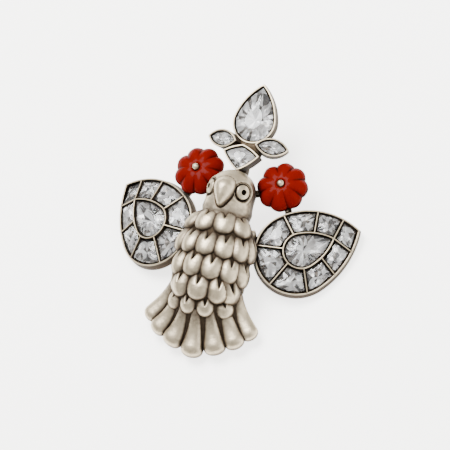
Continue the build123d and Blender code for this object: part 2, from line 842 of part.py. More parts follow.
def flower(first_groove):
    """A carved coral: rounded lobes about its widest line, a dimple and a bore."""
    top_edge = flower_top * math.sqrt(1 - (dimple_radius / flower_radius) ** 2)
    count = flower_lobes * flower_lobe_steps
    lobes = []
    for i in range(count):
        a = 2 * (i % flower_lobe_steps) / flower_lobe_steps - 1
        lobes.append(math.sqrt(1 - a * a))
    rows = [[(flower_bore, top_edge - dimple_depth)] * count, [(dimple_radius, top_edge)] * count]
    for latitude in FLOWER_LATITUDES:
        rise = math.radians(latitude)
        row = []
        for lobe in lobes:
            radius = (flower_radius - groove_depth * (1 - lobe)) * math.cos(rise)
            height = flower_top if latitude > 0 else flower_bottom
            z = height * math.sin(rise)
            if latitude > 0:
                z -= groove_sink * (1 - lobe) * math.sin(2 * rise) * math.cos(rise)
            row.append((radius, z))
        rows.append(row)
    rows.append([(seat_radius, -flower_bottom)] * count)
    rows.append([(flower_bore, -flower_bottom)] * count)
    rings = []
    for row in rows:
        ring_points = []
        for i, (radius, z) in enumerate(row):
            x, y = polar(radius, first_groove + 360 * i / count)
            ring_points.append((x, y, z))
        rings.append(ring_points + ring_points[:1])
    faces = []
    for low, high in zip(rings, rings[1:] + rings[:1]):
        faces += strip(low, high)
    return flower_plane * solid_of(faces)


def flower_pin():
    """A wire with a ball for a head, through the flower and its seat."""
    length = ball_height - seat_bottom - piece_gap
    wire = Pos(0, 0, seat_bottom + piece_gap) * Cylinder(pin_radius, length, align=ON_TOP)
    return flower_plane * (wire + Pos(0, 0, ball_height) * Sphere(ball_radius))


def flower_seat():
    """The seat under a flower, with its arm to the head and its brace to the wing."""
    seat = flower_plane * Pos(0, 0, seat_bottom) * Cylinder(seat_radius, seat_height, align=ON_TOP)
    middle = flower_plane.from_local_coords((0, 0, (seat_top + seat_bottom) / 2))
    end = (middle.X, middle.Y, middle.Z - arm_drop)
    sunk = arm_thick / 2 - solder_lap
    under_head = (head_side - arm_reach, head_top_y - arm_down, back_z + arm_rise)
    x, y = polar(wing.radius_at(brace_angle) - brace_reach, brace_angle)
    under_wing = wing_plane.from_local_coords((x, y, -tray_depth - sunk))
    seat += bar(under_head, end, arm_width, arm_thick)
    seat += bar(end, tuple(under_wing), arm_width, arm_thick)
    hole = Cylinder(pin_radius + pin_fit, 3 * seat_height)
    return seat - flower_plane * Pos(0, 0, seat_bottom) * hole


def bead():
    x, y = polar(wing.radius_at(bead_angle) + bead_stand, bead_angle)
    return wing_plane * Pos(x, y, -bead_sink) * Sphere(bead_radius)


def stub():
    up = (head_drop - stub_down) / head_drop
    down = 1 - stub_rise / (head_middle_z - back_z)
    side = head_side * math.sqrt(1 - up * up) * under_width(down, SECTIONS[0][5])
    return Pos(side, head_top_y - stub_down, back_z + stub_rise) * Sphere(stub_radius)


# The soldered metal, the pin on its back, and all pieces together


def silver_mount():
    right = [wing_tray(), flower_seat(), bead(), stub(), eye_disc()]
    left = [mirror(piece, about=Plane.YZ) for piece in right]
    pocket = eye_pocket()
    casting = bird_solid().cut(pocket, mirror(pocket, about=Plane.YZ))
    return casting.fuse(crest(), *right, *left)


def brooch_pin():
    y = head_top_y - fitting_down
    top = back_z - fitting_gap
    bottom = top - fitting_thick - fitting_stand
    half = fitting_length / 2
    solid = block((-half, y - fitting_width / 2, top - fitting_thick),
                  (half, y + fitting_width / 2, top))
    for side in (-1, 1):
        low, high = sorted((side * half, side * (half - fitting_end)))
        solid += block((low, y - fitting_width / 2, bottom),
                       (high, y + fitting_width / 2, top - fitting_thick))
    wire = Rot(0, 90, 0) * Cylinder(fitting_wire / 2, fitting_length - fitting_end)
    return solid + Pos(0, y, bottom + fitting_wire) * wire


def resting_tilt():
    """Degrees the brooch tips back until it lies on both wings and the tail."""
    outline = wing.inset(-tray_draft)
    tail_z = back_height(tail_end_y)
    slopes = []
    for degrees in range(360):
        place = wing_plane.from_local_coords((*outline.point_at(degrees), -tray_depth))
        slopes.append(math.degrees(math.atan2(tail_z - place.Z, place.Y - tail_end_y)))
    return max(slopes)


def all_pieces():
    pieces = {"silver_mount": silver_mount(), "brooch_pin": brooch_pin()}
    pieces.update(both_sides("wing_pear", wing_pear_stone()))
    for number, stone in enumerate(cell_stones(), 1):
        pieces.update(both_sides(f"wing_stone_{number}", stone))
    pieces.update(crest_stones())
    pieces["coral_flower_right"] = flower(flower_groove_right)
    pieces["coral_flower_left"] = mirror(flower(flower_groove_left), about=Plane.YZ)
    pieces.update(both_sides("flower_pin", flower_pin()))
    return pieces


def laid_down(pieces):
    """The brooch as it rests, with the origin on the floor under its middle."""
    tilt = Rot(resting_tilt(), 0, 0)
    box = (tilt * Compound(list(pieces.values()))).bounding_box()
    middle = box.center()
    place = Pos(-middle.X, -middle.Y, -box.min.Z) * tilt
    return {name: place * piece for name, piece in pieces.items()}


for name, piece in laid_down(all_pieces()).items():
    export_step(piece, f"parts/{name}.step")
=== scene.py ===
# %% [markdown]
# # A silver bird brooch, set with glass stones and coral flowers
# The real brooch is cast silver, darkened in its recesses and rubbed bright on top. The
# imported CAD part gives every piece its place. This lesson dresses it: the bird and the
# settings are made again with finer relief, the stones with more facets, and each finish
# is a small tree of shader nodes. Lengths are millimetres in the brooch's own frame, with
# X to the right, Y up to the crest and Z out of the front.

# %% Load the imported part
import math

import bmesh
import bpy
import numpy as np
from mathutils import Matrix, Vector
from mathutils.bvhtree import BVHTree


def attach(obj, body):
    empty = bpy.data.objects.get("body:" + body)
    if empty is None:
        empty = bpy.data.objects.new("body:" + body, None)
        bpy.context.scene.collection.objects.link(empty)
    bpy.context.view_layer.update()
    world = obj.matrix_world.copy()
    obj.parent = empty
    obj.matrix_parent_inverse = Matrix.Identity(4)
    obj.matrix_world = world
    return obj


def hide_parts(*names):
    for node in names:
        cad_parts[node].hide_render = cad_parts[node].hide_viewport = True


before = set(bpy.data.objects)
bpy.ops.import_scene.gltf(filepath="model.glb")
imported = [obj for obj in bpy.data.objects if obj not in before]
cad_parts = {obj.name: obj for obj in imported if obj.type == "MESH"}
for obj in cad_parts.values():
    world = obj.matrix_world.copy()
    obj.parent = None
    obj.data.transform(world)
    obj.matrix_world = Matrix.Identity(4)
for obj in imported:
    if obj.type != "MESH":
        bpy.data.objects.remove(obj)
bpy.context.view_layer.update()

# %% [markdown]
# ## From the brooch's frame to the floor
# The brooch lies on its wing tips and its tail, so it leans back a little. One matrix
# turns and moves everything from the brooch's own frame, and makes metres of millimetres.
# Every object enters the scene through one small function.

# %% Where the brooch lies
MM = 0.001
LEAN = 12.4102
LIFT = Vector((0, 0.5157, 9.5649))
PLACE = Matrix.Scale(MM, 4) @ Matrix.Translation(LIFT) @ Matrix.Rotation(math.radians(LEAN), 4, "X")


def in_scene(name, data):
    made = bpy.data.objects.new(name, data)
    bpy.context.scene.collection.objects.link(made)
    return made


print("the brooch leans back", LEAN, "degrees")

# %% [markdown]
# ## Camera
# The photograph was taken from a distance, so the camera stands far off with a long lens.
# Its direction was worked out from the mirror symmetry of the wings, eyes and flowers.

# %% Camera
VIEW_WIDTH = 0.1027
CAMERA_AWAY = 2.5
towards = Vector((0.3529, -0.3671, 0.8606)).normalized()
upward = Vector((-0.1816, 0.8752, 0.4481)).normalized()
sideways = upward.cross(towards).normalized()
upward = towards.cross(sideways)
aim = Vector((-0.22, -1.71, 8.70)) * MM
camera_data = bpy.data.cameras.new("camera")
camera_data.lens = camera_data.sensor_width * CAMERA_AWAY / VIEW_WIDTH
camera_data.clip_start, camera_data.clip_end = 0.01, 10
camera = in_scene("camera", camera_data)
camera.matrix_world = Matrix.Translation(aim + towards * CAMERA_AWAY) @ Matrix(
    (sideways, upward, towards)).transposed().to_4x4()
bpy.context.scene.camera = camera
print("camera looks down at", round(math.degrees(math.asin(towards.z)), 1), "degrees")


# %% [markdown]
# ## Helpers for nodes and colours
# A shader tree is easier to read when one function adds a node, sets it and links it.
# Colours are written as they look on a screen and turned linear once, here. Patterns are
# given by the size of their grain in millimetres.

# %% Helpers for nodes and colours
def linear(text, alpha=1.0):
    """An sRGB hex colour as the linear values that shaders use."""
    values = [int(text[k:k + 2], 16) / 255 for k in (1, 3, 5)]
    return tuple(v / 12.92 if v <= 0.04045 else ((v + 0.055) / 1.055) ** 2.4 for v in values) + (alpha,)


def add(tree, kind, values=None, **settings):
    """Adds a node. values fills or links its inputs, by name or number."""
    made = tree.nodes.new(kind)
    for name, value in settings.items():
        setattr(made, name, value)
    for socket, value in (values or {}).items():
        if isinstance(value, bpy.types.NodeSocket):
            tree.links.new(value, made.inputs[socket])
        else:
            made.inputs[socket].default_value = value
    return made


def ramp(tree, value, stops):
    """A colour ramp whose stops are (place, hex colour)."""
    made = add(tree, "ShaderNodeValToRGB", {0: value})
    elements = made.color_ramp.elements
    while len(elements) < len(stops):
        elements.new(0.5)
    for element, (place, colour) in zip(elements, stops):
        element.position = place
        element.color = linear(colour)
    return made.outputs[0]


def scaled(tree, value, factor, offset):
    """value times factor plus offset, each a number or a socket."""
    return add(tree, "ShaderNodeMath", {0: value, 1: factor, 2: offset}, operation="MULTIPLY_ADD").outputs[0]


def noise(tree, grain, detail):
    where = add(tree, "ShaderNodeTexCoord").outputs["Object"]
    return add(tree, "ShaderNodeTexNoise", {
        "Vector": where, "Scale": 1 / (grain * MM), "Detail": detail}).outputs[0]


def stored(tree, name):
    """A value that the mesh carries under this name."""
    return add(tree, "ShaderNodeAttribute", attribute_name=name).outputs["Fac"]


def bump(tree, height, distance, strength):
    return add(tree, "ShaderNodeBump", {
        "Height": height, "Distance": distance * MM, "Strength": strength}).outputs[0]


def finish_named(name):
    """A new material and its empty tree."""
    material = bpy.data.materials.new(name)
    material.use_nodes = True
    material.node_tree.nodes.clear()
    return material, material.node_tree


def shaded(tree, values):
    """Gives a tree its shader and its output."""
    shader = add(tree, "ShaderNodeBsdfPrincipled", values)
    add(tree, "ShaderNodeOutputMaterial", {0: shader.outputs[0]})


print("a mid grey is", [round(v, 3) for v in linear("#808080")[:3]])

# %% [markdown]
# ## Antiqued cast silver
# The casting is dipped in a solution that blackens it and then rubbed, so that it is
# bright where a cloth reaches and brown-black where it doesn't. A vertex attribute, worked
# out later from how open each place is and which way it faces, says how far the cloth
# reached, with painted shade added where the surface faces down.
# A ramp turns it into colour and roughness, and a soft noise mottles it. The satin skin
# left by tumbling is a bump of dents 0.7 mm wide and a grain of about 0.1 mm.

# %% Antiqued cast silver
MOTTLE = 0.42


def antiqued_silver(name, polish_and_shade=None):
    """polish is one value for a whole piece, or None where the mesh carries it."""
    material, tree = finish_named(name)
    if polish_and_shade is None:
        polish_and_shade = stored(tree, "polish_and_shade")
    # the stored value is patina from the cloth's reach, plus painted shade on what faces down
    rubbed_and_shaded = scaled(tree, polish_and_shade, 1.0, scaled(tree, noise(tree, 0.9, 4.0), MOTTLE, -MOTTLE / 2))
    colour = ramp(tree, rubbed_and_shaded, [(0.0, "#2c241b"), (0.30, "#44392d"), (0.55, "#62574a"),
                                 (0.78, "#897e6d"), (1.0, "#b9ab92")])
    rough = add(tree, "ShaderNodeMapRange", {0: rubbed_and_shaded, 1: 0.2, 2: 0.9, 3: 0.68, 4: 0.41}).outputs[0]
    skin = scaled(tree, noise(tree, 0.7, 3.0), 3.0, noise(tree, 0.12, 2.0))
    shaded(tree, {"Base Color": colour, "Metallic": 1.0, "Roughness": rough,
                  "Normal": bump(tree, skin, 0.02, 1.0)})
    return material


silver = antiqued_silver("antiqued cast silver")
plain_silver = antiqued_silver("plain silver wire", polish_and_shade=1.0)
print("silver materials:", silver.name, "and", plain_silver.name)

# %% [markdown]
# ## Polished coral
# The flowers are carved from coral or from a bead of its colour, and polished. The red
# is painted darker in the carved grooves and on what faces down, as shade, and the
# surface has faint pores. A thin clear coat stands for the wax polish.

# %% Polished coral
def polished_coral():
    material, tree = finish_named("polished red coral")
    # painted shade: the stored value darkens the grooves and what faces down
    shade = scaled(tree, stored(tree, "polish_and_shade"), 1.0, scaled(tree, noise(tree, 1.6, 4.0), 0.35, -0.17))
    colour = ramp(tree, shade, [(0.0, "#060000"), (0.35, "#130000"), (0.7, "#340200"), (1.0, "#5e0600")])
    shaded(tree, {"Base Color": colour, "Roughness": 0.4, "Specular IOR Level": 0.02, "Coat Weight": 0.03,
                  "Coat Roughness": 0.04, "Normal": bump(tree, noise(tree, 0.35, 3.0), 0.03, 0.8)})
    return material


coral = polished_coral()
print("coral material:", coral.name)

# %% [markdown]
# ## Glass with foil behind it
# These stones are clear glass with a foil under the point, which sends the light back.
# The crown is a glass shader, and the facets below the girdle carry a thin metal coat.
# Each of those has its own painted glint, from dark to white, and a pattern of shards 0.9 mm
# wide breaks it up: painted reflections that stand for the many mirror images inside a real
# stone.

# %% Glass and foil
def clear_glass():
    material, tree = finish_named("clear cut glass")
    shaded(tree, {"Base Color": linear("#fbfcfd"), "Transmission Weight": 0.97,
                  "Roughness": 0.03, "IOR": 1.55})
    return material


def mirror_foil():
    material, tree = finish_named("silver foil behind glass")
    where = add(tree, "ShaderNodeTexCoord").outputs["Object"]
    shards = add(tree, "ShaderNodeTexVoronoi", {"Vector": where, "Scale": 1 / (0.9 * MM)})
    shard = add(tree, "ShaderNodeSeparateColor", {0: shards.outputs["Color"]}).outputs[0]
    # painted reflections: each facet's glint and the shards set the foil's colour
    tone = scaled(tree, shard, 0.30, scaled(tree, stored(tree, "glint"), 1.1, -0.20))
    colour = ramp(tree, tone, [(0.0, "#120e0a"), (0.25, "#4c4238"), (0.5, "#a39c94"), (0.75, "#f0efee"),
                               (1.0, "#ffffff")])
    shaded(tree, {"Base Color": colour, "Metallic": 0.65, "Roughness": 0.10})
    return material


glass = clear_glass()
foil = mirror_foil()
print("stone materials:", glass.name, "and", foil.name)

# %% [markdown]
# ## Helpers for meshes
# Most pieces are closed shells made of loops: each loop has the same number of points and
# is joined to the next. A piece gathers its shells into one mesh, whose points are then
# laid in place, so that the object itself stays at the origin, unturned.

# %% Helpers for meshes
def lofted(loops, reach=None, capped=True):
    """A shell from closed loops, as (points, faces, how far a polishing cloth reaches). On some outer walls
    that value is partly painted shade.
    """
    count = len(loops[0])
    points = [tuple(p) for loop in loops for p in loop]
    reached = [value for value in (reach or [1.0] * len(loops)) for _ in range(count)]
    faces = []
    for k in range(len(loops) - 1):
        for i in range(count):
            j = (i + 1) % count
            faces.append((k * count + i, k * count + j, (k + 1) * count + j, (k + 1) * count + i))
    for start in (0, (len(loops) - 1) * count) if capped else ():
        middle = len(points)
        points.append(tuple(np.mean(points[start:start + count], axis=0)))
        reached.append(reached[start])
        faces += [(start + (i + 1) % count, start + i, middle) for i in range(count)]
    return points, faces, reached


def polar(radius, degrees, middle=(0.0, 0.0)):
    """A place at a distance and angle from a middle."""
    angle = math.radians(degrees)
    return (middle[0] + radius * math.cos(angle), middle[1] + radius * math.sin(angle))


def plane(origin, x_dir, z_dir):
    """A matrix from a flat outline's frame to the brooch's."""
    out = Vector(z_dir).normalized()
    right = Vector(x_dir).normalized()
    made = Matrix((right, out.cross(right), out)).transposed().to_4x4()
    made.translation = Vector(origin)
    return made


def spun(place, profile, count=48, reach=None):
    """A shell spun round the plane's Z axis from (radius, height) pairs."""
    loops = [[tuple(place @ Vector((*polar(radius, 360 * i / count), height))) for i in range(count)]
             for radius, height in profile]
    return lofted(loops, reach)


def turned_by(place, shell):
    """A shell whose points are moved by a matrix."""
    return ([tuple(place @ Vector(p)) for p in shell[0]], *shell[1:])


def mirrored(shell):
    """The same shell for the other half of the brooch."""
    return [(-x, y, z) for x, y, z in shell[0]], [face[::-1] for face in shell[1]], *shell[2:]


def with_values(mesh, name, values):
    """Gives each point of a mesh a named value or vector."""
    values = np.array(values, float)
    kind, field = ("FLOAT_VECTOR", "vector") if values.ndim == 2 else ("FLOAT", "value")
    mesh.attributes.new(name, kind, "POINT").data.foreach_set(field, values.ravel())


def laid_in_place(made, smooth_under=None):
    """Closes seams, turns faces outwards and moves the mesh to where the brooch lies.

    Edges are shaded smooth up to an angle: None is any, and 0 leaves each facet flat.
    """
    mesh = made.data
    build = bmesh.new()
    build.from_mesh(mesh)
    bmesh.ops.remove_doubles(build, verts=build.verts, dist=1e-4)
    bmesh.ops.recalc_face_normals(build, faces=build.faces)
    build.to_mesh(mesh)
    build.free()
    mesh.transform(PLACE)
    for polygon in mesh.polygons:
        polygon.use_smooth = smooth_under != 0
    if smooth_under:
        mesh.set_sharp_from_angle(angle=math.radians(smooth_under))
    mesh.update()
    return made


def piece_of(name, shells, materials, kinds=None, glints=None, smooth_under=None):
    """One object from shells. kinds are its faces' materials, glints their brightness."""
    points, faces, reached = [], [], []
    for own_points, own_faces, own_reach in shells:
        start = len(points)
        points += own_points
        faces += [tuple(start + v for v in face) for face in own_faces]
        reached += own_reach
    mesh = bpy.data.meshes.new(name)
    mesh.from_pydata(points, [], faces)
    mesh.polygons.foreach_set("material_index", kinds or [0] * len(faces))
    if glints:
        mesh.attributes.new("glint", "FLOAT", "FACE").data.foreach_set("value", glints)
    else:
        with_values(mesh, "reach", reached)
    for material in materials:
        mesh.materials.append(material)
    return laid_in_place(in_scene(name, mesh), smooth_under)


def kept(made, slot_name, *nodes):
    """Puts a finished piece on the root body and hides the CAD nodes it stands for. slot_name is not used.
    """
    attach(made, "root")
    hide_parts(*nodes)
    made.data.calc_loop_triangles()
    print(f"{made.name}: {len(made.data.loop_triangles)} triangles")


print("helpers ready")

# %% [markdown]
# ## The bird's body as sections
# The casting is described by sections from the head to the tail, each a flattened arch
# over a flat back. A smooth curve runs through the table, so a section can be taken
# anywhere. The feathers, ribs, beak and eyes are laid on the surface that this gives.

# %% The bird's sections
HEAD_TOP = 10.3
BIRD_LENGTH = 43.9
BODY_HALF_WIDTH = 9.4
BODY_HEIGHT = 11.8
BACK = -3.6
SECTIONS = [
    # along, width, middle, crest, sweep, under
    (0.125, 0.596, 0.407, 0.881, 0.000, 0.52),
    (0.212, 0.585, 0.407, 0.845, 0.000, 0.52),
    (0.257, 0.590, 0.411, 0.810, 0.000, 0.52),
    (0.303, 0.740, 0.420, 0.830, 0.000, 0.53),
    (0.349, 0.855, 0.430, 0.855, 0.000, 0.56),
    (0.431, 0.905, 0.437, 0.905, 0.000, 0.60),
    (0.554, 0.930, 0.437, 0.930, 0.000, 0.62),
    (0.674, 0.920, 0.410, 0.860, 0.080, 0.64),
    (0.770, 0.900, 0.330, 0.680, 0.190, 0.70),
    (0.884, 1.140, 0.205, 0.420, 0.230, 0.85),
    (1.000, 1.470, 0.150, 0.290, 0.262, 0.93),
]
HEAD_DROP = SECTIONS[0][0] * BIRD_LENGTH
HEAD_SIDE = SECTIONS[0][1] * BODY_HALF_WIDTH
HEAD_MIDDLE = Vector((0, HEAD_TOP - HEAD_DROP, BACK + SECTIONS[0][2] * BODY_HEIGHT))
FAN_LIMIT = math.radians(72)


def interpolate(rows, at, column):
    """Smooth value of one column of a table at a share along it."""
    if at <= rows[0][0]:
        return rows[0][column]
    if at >= rows[-1][0]:
        return rows[-1][column]
    i = max(k for k in range(len(rows) - 1) if rows[k][0] <= at)

    def slope(k):
        low, high = max(k - 1, 0), min(k + 1, len(rows) - 1)
        return (rows[high][column] - rows[low][column]) / (rows[high][0] - rows[low][0])

    step = rows[i + 1][0] - rows[i][0]
    t = (at - rows[i][0]) / step
    return ((2 * t**3 - 3 * t**2 + 1) * rows[i][column] + (t**3 - 2 * t**2 + t) * step * slope(i)
            + (3 * t**2 - 2 * t**3) * rows[i + 1][column] + (t**3 - t**2) * step * slope(i + 1))


def section(along):
    """Half width, widest line, height above it, sweep and under of one section."""
    width, middle, crest, sweep, under = [interpolate(SECTIONS, along, k) for k in range(1, 6)]
    rise = max(0.0, (HEAD_DROP - along * BIRD_LENGTH) / HEAD_DROP)
    cap = math.sqrt(max(0.0, 1 - rise**2))
    return (width * BODY_HALF_WIDTH * cap, BACK + middle * BODY_HEIGHT,
            (crest - middle) * BODY_HEIGHT * cap, sweep * BIRD_LENGTH, under)


def body_point(along, angle, lift=0.0):
    """A place on the bare body: angle is 0 at the front and 90 degrees at the side."""
    half_width, middle, height, sweep, _ = section(along)
    y = HEAD_TOP - along * BIRD_LENGTH + sweep * (1 - math.cos(min(abs(angle), FAN_LIMIT)))
    return Vector(((half_width + lift) * math.sin(angle), y, middle + (height + lift) * math.cos(angle)))


def along_at(y, angle):
    """The section that passes a height at one angle, found by halving."""
    low, high = 0.05, 1.0
    for _ in range(30):
        half = (low + high) / 2
        if body_point(half, angle).y > y:
            low = half
        else:
            high = half
    return (low + high) / 2


def body_axes(along, angle):
    """Across, up and out directions of the bare surface, and the size of one radian."""
    step = 0.003
    around = (body_point(along, angle + step) - body_point(along, angle - step)) / (2 * step)
    upwards = (body_point(along - step, angle) - body_point(along + step, angle)).normalized()
    out = around.cross(upwards).normalized()
    across = upwards.cross(out)
    return across, upwards, out, around.dot(across)


print("head is", round(2 * HEAD_SIDE, 1), "mm wide, body", round(2 * section(0.554)[0], 1))

# %% [markdown]
# ## Head and body
# One closed skin carries everything else. It follows the sections from the crown to the
# tail and is rounded under to the flat back. Near the face its points are pressed in for
# the eyes and the crease round the beak, and a hem of skin lies over the first feathers.
# The beak and the eyes are shells of their own, let into the face.

# %% Head and body
EYE_TURN = 47.0
EYE_POCKET = 0.9
LID_RADIUS = 2.62
BEAK_TOP = HEAD_TOP - 2.6
BEAK_LENGTH = 7.6
BEAK_HALF_WIDTH = 2.5
BEAK_HEIGHT = 2.3
BEAK = [
    # along, width, height
    (0.00, 0.00, 0.00),
    (0.03, 0.42, 0.22),
    (0.08, 0.66, 0.48),
    (0.16, 0.87, 0.74),
    (0.28, 1.00, 0.93),
    (0.42, 0.99, 1.00),
    (0.58, 0.85, 1.00),
    (0.74, 0.62, 0.93),
    (0.88, 0.38, 0.75),
    (0.97, 0.18, 0.42),
    (1.00, 0.00, 0.00),
]
EYE = [
    # radius, height: the groove round the eye, its dome and the drilled pupil
    (2.32, -1.10),
    (2.28, -0.55),
    (2.22, -0.42),
    (2.12, -0.35),
    (2.03, -0.42),
    (1.98, -0.75),
    (1.88, -0.95),
    (1.78, -0.85),
    (1.71, -0.12),
    (1.66, 0.05),
    (1.45, 0.18),
    (1.10, 0.32),
    (0.80, 0.40),
    (0.74, 0.44),
    (0.65, 0.40),
    (0.62, 0.20),
    (0.60, -0.60),
]
HEM = [
    # along, height: the skin of the neck lies over the roots of the first feathers
    (0.190, 0.00),
    (0.220, 0.18),
    (0.245, 0.36),
    (0.290, 0.10),
    (0.780, 0.10),
    (0.830, 0.00),
]
SIDE_POINTS = 7
front_angles = [math.radians(-90 + 1.25 * k) for k in range(145)]
tail_break_y = body_point(0.770, FAN_LIMIT).y
tail_end_y = body_point(1.0, 0.0).y


def eased(low, high, value):
    share = min(1.0, max(0.0, (value - low) / (high - low)))
    return share * share * (3 - 2 * share)


def back_height(y):
    return BACK + 1.2 * max(0.0, (tail_break_y - y) / (tail_break_y - tail_end_y))


def eye_axis(side):
    turn = math.radians(EYE_TURN) * side
    return Vector((math.sin(turn), 0, math.cos(turn)))


def from_eyes(point):
    """For each eye that a point lies in front of, its axis and the distance from it."""
    away = Vector(point) - HEAD_MIDDLE
    for axis in (eye_axis(-1), eye_axis(1)):
        deep = away.dot(axis)
        if deep > 0:
            yield axis, (away - axis * deep).length


def beside_beak(point):
    """The share down the beak, and how far a point lies from its side."""
    share = (BEAK_TOP - point[1]) / BEAK_LENGTH
    return share, abs(point[0]) - BEAK_HALF_WIDTH * interpolate(BEAK, share, 1)


def pressed(point):
    """The skin pressed in where the eyes are set, raised to lids, and creased at the beak."""
    above = eased(-1.5, 2.0, point.y - HEAD_MIDDLE.y)
    for axis, reach in from_eyes(point):
        point = point - axis * EYE_POCKET * (1 - eased(1.98, 2.16, reach))
        point = point + axis * (0.12 + 0.26 * above) * math.exp(-((reach - LID_RADIUS) / 0.30) ** 2)
    share, beside = beside_beak(point)
    if 0 < share < 1 and point.z > HEAD_MIDDLE.z:
        point = point - Vector((0, 0, 0.24 * eased(0.06, 0.34, share) * math.exp(-(beside / 0.32) ** 2)))
    return point


def drawn_in(y, share):
    """The crown of the head is rounded under as well as its sides."""
    return HEAD_MIDDLE.y + (y - HEAD_MIDDLE.y) * share if y > HEAD_MIDDLE.y else y


def skin_loop(along):
    """Points round one section: front, right side under, back, left side under."""
    under = section(along)[4]
    ragged = [0.004 * math.sin(5.3 * a + 1.1) + 0.002 * math.sin(13 * a) for a in front_angles]
    front = []
    for angle, shift in zip(front_angles, ragged):
        shift += 0.022 * math.sin(angle) ** 2
        point = body_point(along, angle, interpolate(HEM, along + shift, 1))
        front.append(pressed(point) if along < 0.3 else point)
    sides = []
    for x, y, z in (front[-1], front[0]):
        side = []
        for k in range(1, SIDE_POINTS + 1):
            down = k / (SIDE_POINTS + 1)
            width = math.sqrt(1 - down**2 * (1 - under**2))
            side.append((x * width, drawn_in(y, width), z + (back_height(y) - z) * down))
        sides.append(side)
    back = [(x * under, drawn_in(y, under), back_height(y)) for x, y, z in reversed(front)]
    return [tuple(p) for p in front] + sides[0] + back + sides[1][::-1]


def cloth_reach(point):
    """Less beside the beak and in the grooves round the eyes."""
    reach = 1.0
    for _, away in from_eyes(point):
        reach *= 1 - 0.75 * (1 - eased(2.05, 2.5, away))
    share, beside = beside_beak(point)
    if 0.1 < share < 1 and point[2] > HEAD_MIDDLE.z:
        reach *= 1 - 0.4 * eased(0.06, 0.34, share) * math.exp(-(beside / 0.35) ** 2)
    return reach


def skin_shell():
    """The skin from the crown to the tail, its loops closest together over the face."""
    stations = [0.125 * (1 - math.cos(math.radians(a))) for a in range(0, 90, 4)]
    stations += list(np.linspace(0.125, 0.285, 52))
    stations += list(np.linspace(0.292, 0.77, 46))
    stations += list(np.linspace(0.78, 0.955, 20))
    loops = [skin_loop(along) for along in stations]
    points, faces, _ = lofted(loops, capped=False)
    count, front = len(loops[0]), len(front_angles)
    reached = []
    for along, loop in zip(stations, loops):
        covered = (1 - 0.3 * eased(0.17, 0.25, along)) * (1 - 0.8 * eased(0.27, 0.30, along))
        reached += [covered * cloth_reach(loop[i]) if 4 < i < front - 5 else 0.7 for i in range(count)]
    edge = list(range(len(points) - count, len(points)))
    back = edge[front + SIDE_POINTS:front * 2 + SIDE_POINTS]
    for i in range(front - 1):
        faces.append((edge[i + 1], edge[i], back[front - 1 - i], back[front - 2 - i]))
    faces.append(tuple(edge[front - 1:front + SIDE_POINTS + 1]))
    faces.append(tuple(edge[front * 2 + SIDE_POINTS - 1:] + [edge[0]]))
    return points, faces, reached


def beak_shell():
    """A smooth drop that hooks down, let into the face."""
    loops = []
    steps, let_in = 40, 0.4
    for k in range(steps + 1):
        share = 0.002 + 0.996 * (1 - math.cos(math.pi * k / steps)) / 2
        y = BEAK_TOP - BEAK_LENGTH * share
        face_z = body_point(along_at(y, 0.0), 0.0).z - let_in
        wide = BEAK_HALF_WIDTH * interpolate(BEAK, share, 1)
        high = BEAK_HEIGHT * interpolate(BEAK, share, 2) + let_in
        loop = []
        for i in range(steps):
            turn = 2 * math.pi * i / steps
            rise = math.sin(turn)
            loop.append((wide * math.cos(turn), y, face_z + rise * (high if rise > 0 else 1.0)))
        loops.append(loop)
    return lofted(loops)


def eye_shell(side):
    """A domed disc with a drilled pupil, in a groove with a raised lip."""
    axis = eye_axis(side)
    place = plane(HEAD_MIDDLE + axis * HEAD_SIDE, Vector((0, 1, 0)).cross(axis), axis)
    return spun(place, EYE, 64, [0.1 if height < -0.4 or radius < 0.64 else 1.1 for radius, height in EYE])


bird = piece_of("bird_head_and_body", [skin_shell(), beak_shell(), eye_shell(1), eye_shell(-1)], [silver])
print("bird:", len(bird.data.vertices), "points")

# %% [markdown]
# ## Helper for Geometry Nodes
# What repeats is made by a small node tree: points or lines that carry the sizes as named
# attributes go in, and one mesh comes out. The result is copied as a plain mesh, because
# instances are lost on export.

# %% Helper for Geometry Nodes
def host_with(name, points, edges, **values):
    """A mesh of points or lines that carry named values or vectors."""
    mesh = bpy.data.meshes.new(name)
    mesh.from_pydata(points, edges, [])
    for label, row in values.items():
        with_values(mesh, label, row)
    return mesh


def grown(name, host_mesh, tree, inputs):
    """The plain object that a node tree makes from a host mesh."""
    host = in_scene(name + "_host", host_mesh)
    modifier = host.modifiers.new("nodes", "NODES")
    modifier.node_group = tree
    for item in tree.interface.items_tree:
        if item.in_out == "INPUT" and item.name in inputs:
            modifier[item.identifier] = inputs[item.name]
    graph = bpy.context.evaluated_depsgraph_get()
    mesh = bpy.data.meshes.new_from_object(host.evaluated_get(graph))
    mesh.name = name
    bpy.data.objects.remove(host)
    return laid_in_place(in_scene(name, mesh))


def tree_with(name, inputs):
    """An empty Geometry Nodes tree with named inputs, and its two ends."""
    tree = bpy.data.node_groups.new(name, "GeometryNodeTree")
    tree.interface.new_socket("Geometry", in_out="INPUT", socket_type="NodeSocketGeometry")
    for label, kind, value in inputs:
        socket = tree.interface.new_socket(label, in_out="INPUT", socket_type=kind)
        if value is not None:
            socket.default_value = value
    tree.interface.new_socket("Geometry", in_out="OUTPUT", socket_type="NodeSocketGeometry")
    return tree, tree.nodes.new("NodeGroupInput"), tree.nodes.new("NodeGroupOutput")


def carried(tree, name, kind="FLOAT"):
    """The node that reads a named attribute."""
    return add(tree, "GeometryNodeInputNamedAttribute", {"Name": name}, data_type=kind).outputs[0]


def in_metal(tree, geometry, entry, leave):
    """Ends a tree: its instances become mesh, which takes the metal."""
    real = add(tree, "GeometryNodeRealizeInstances", {0: geometry})
    metal = add(tree, "GeometryNodeSetMaterial", {0: real.outputs[0], "Material": entry.outputs["Metal"]})
    tree.links.new(metal.outputs[0], leave.inputs[0])
    return tree


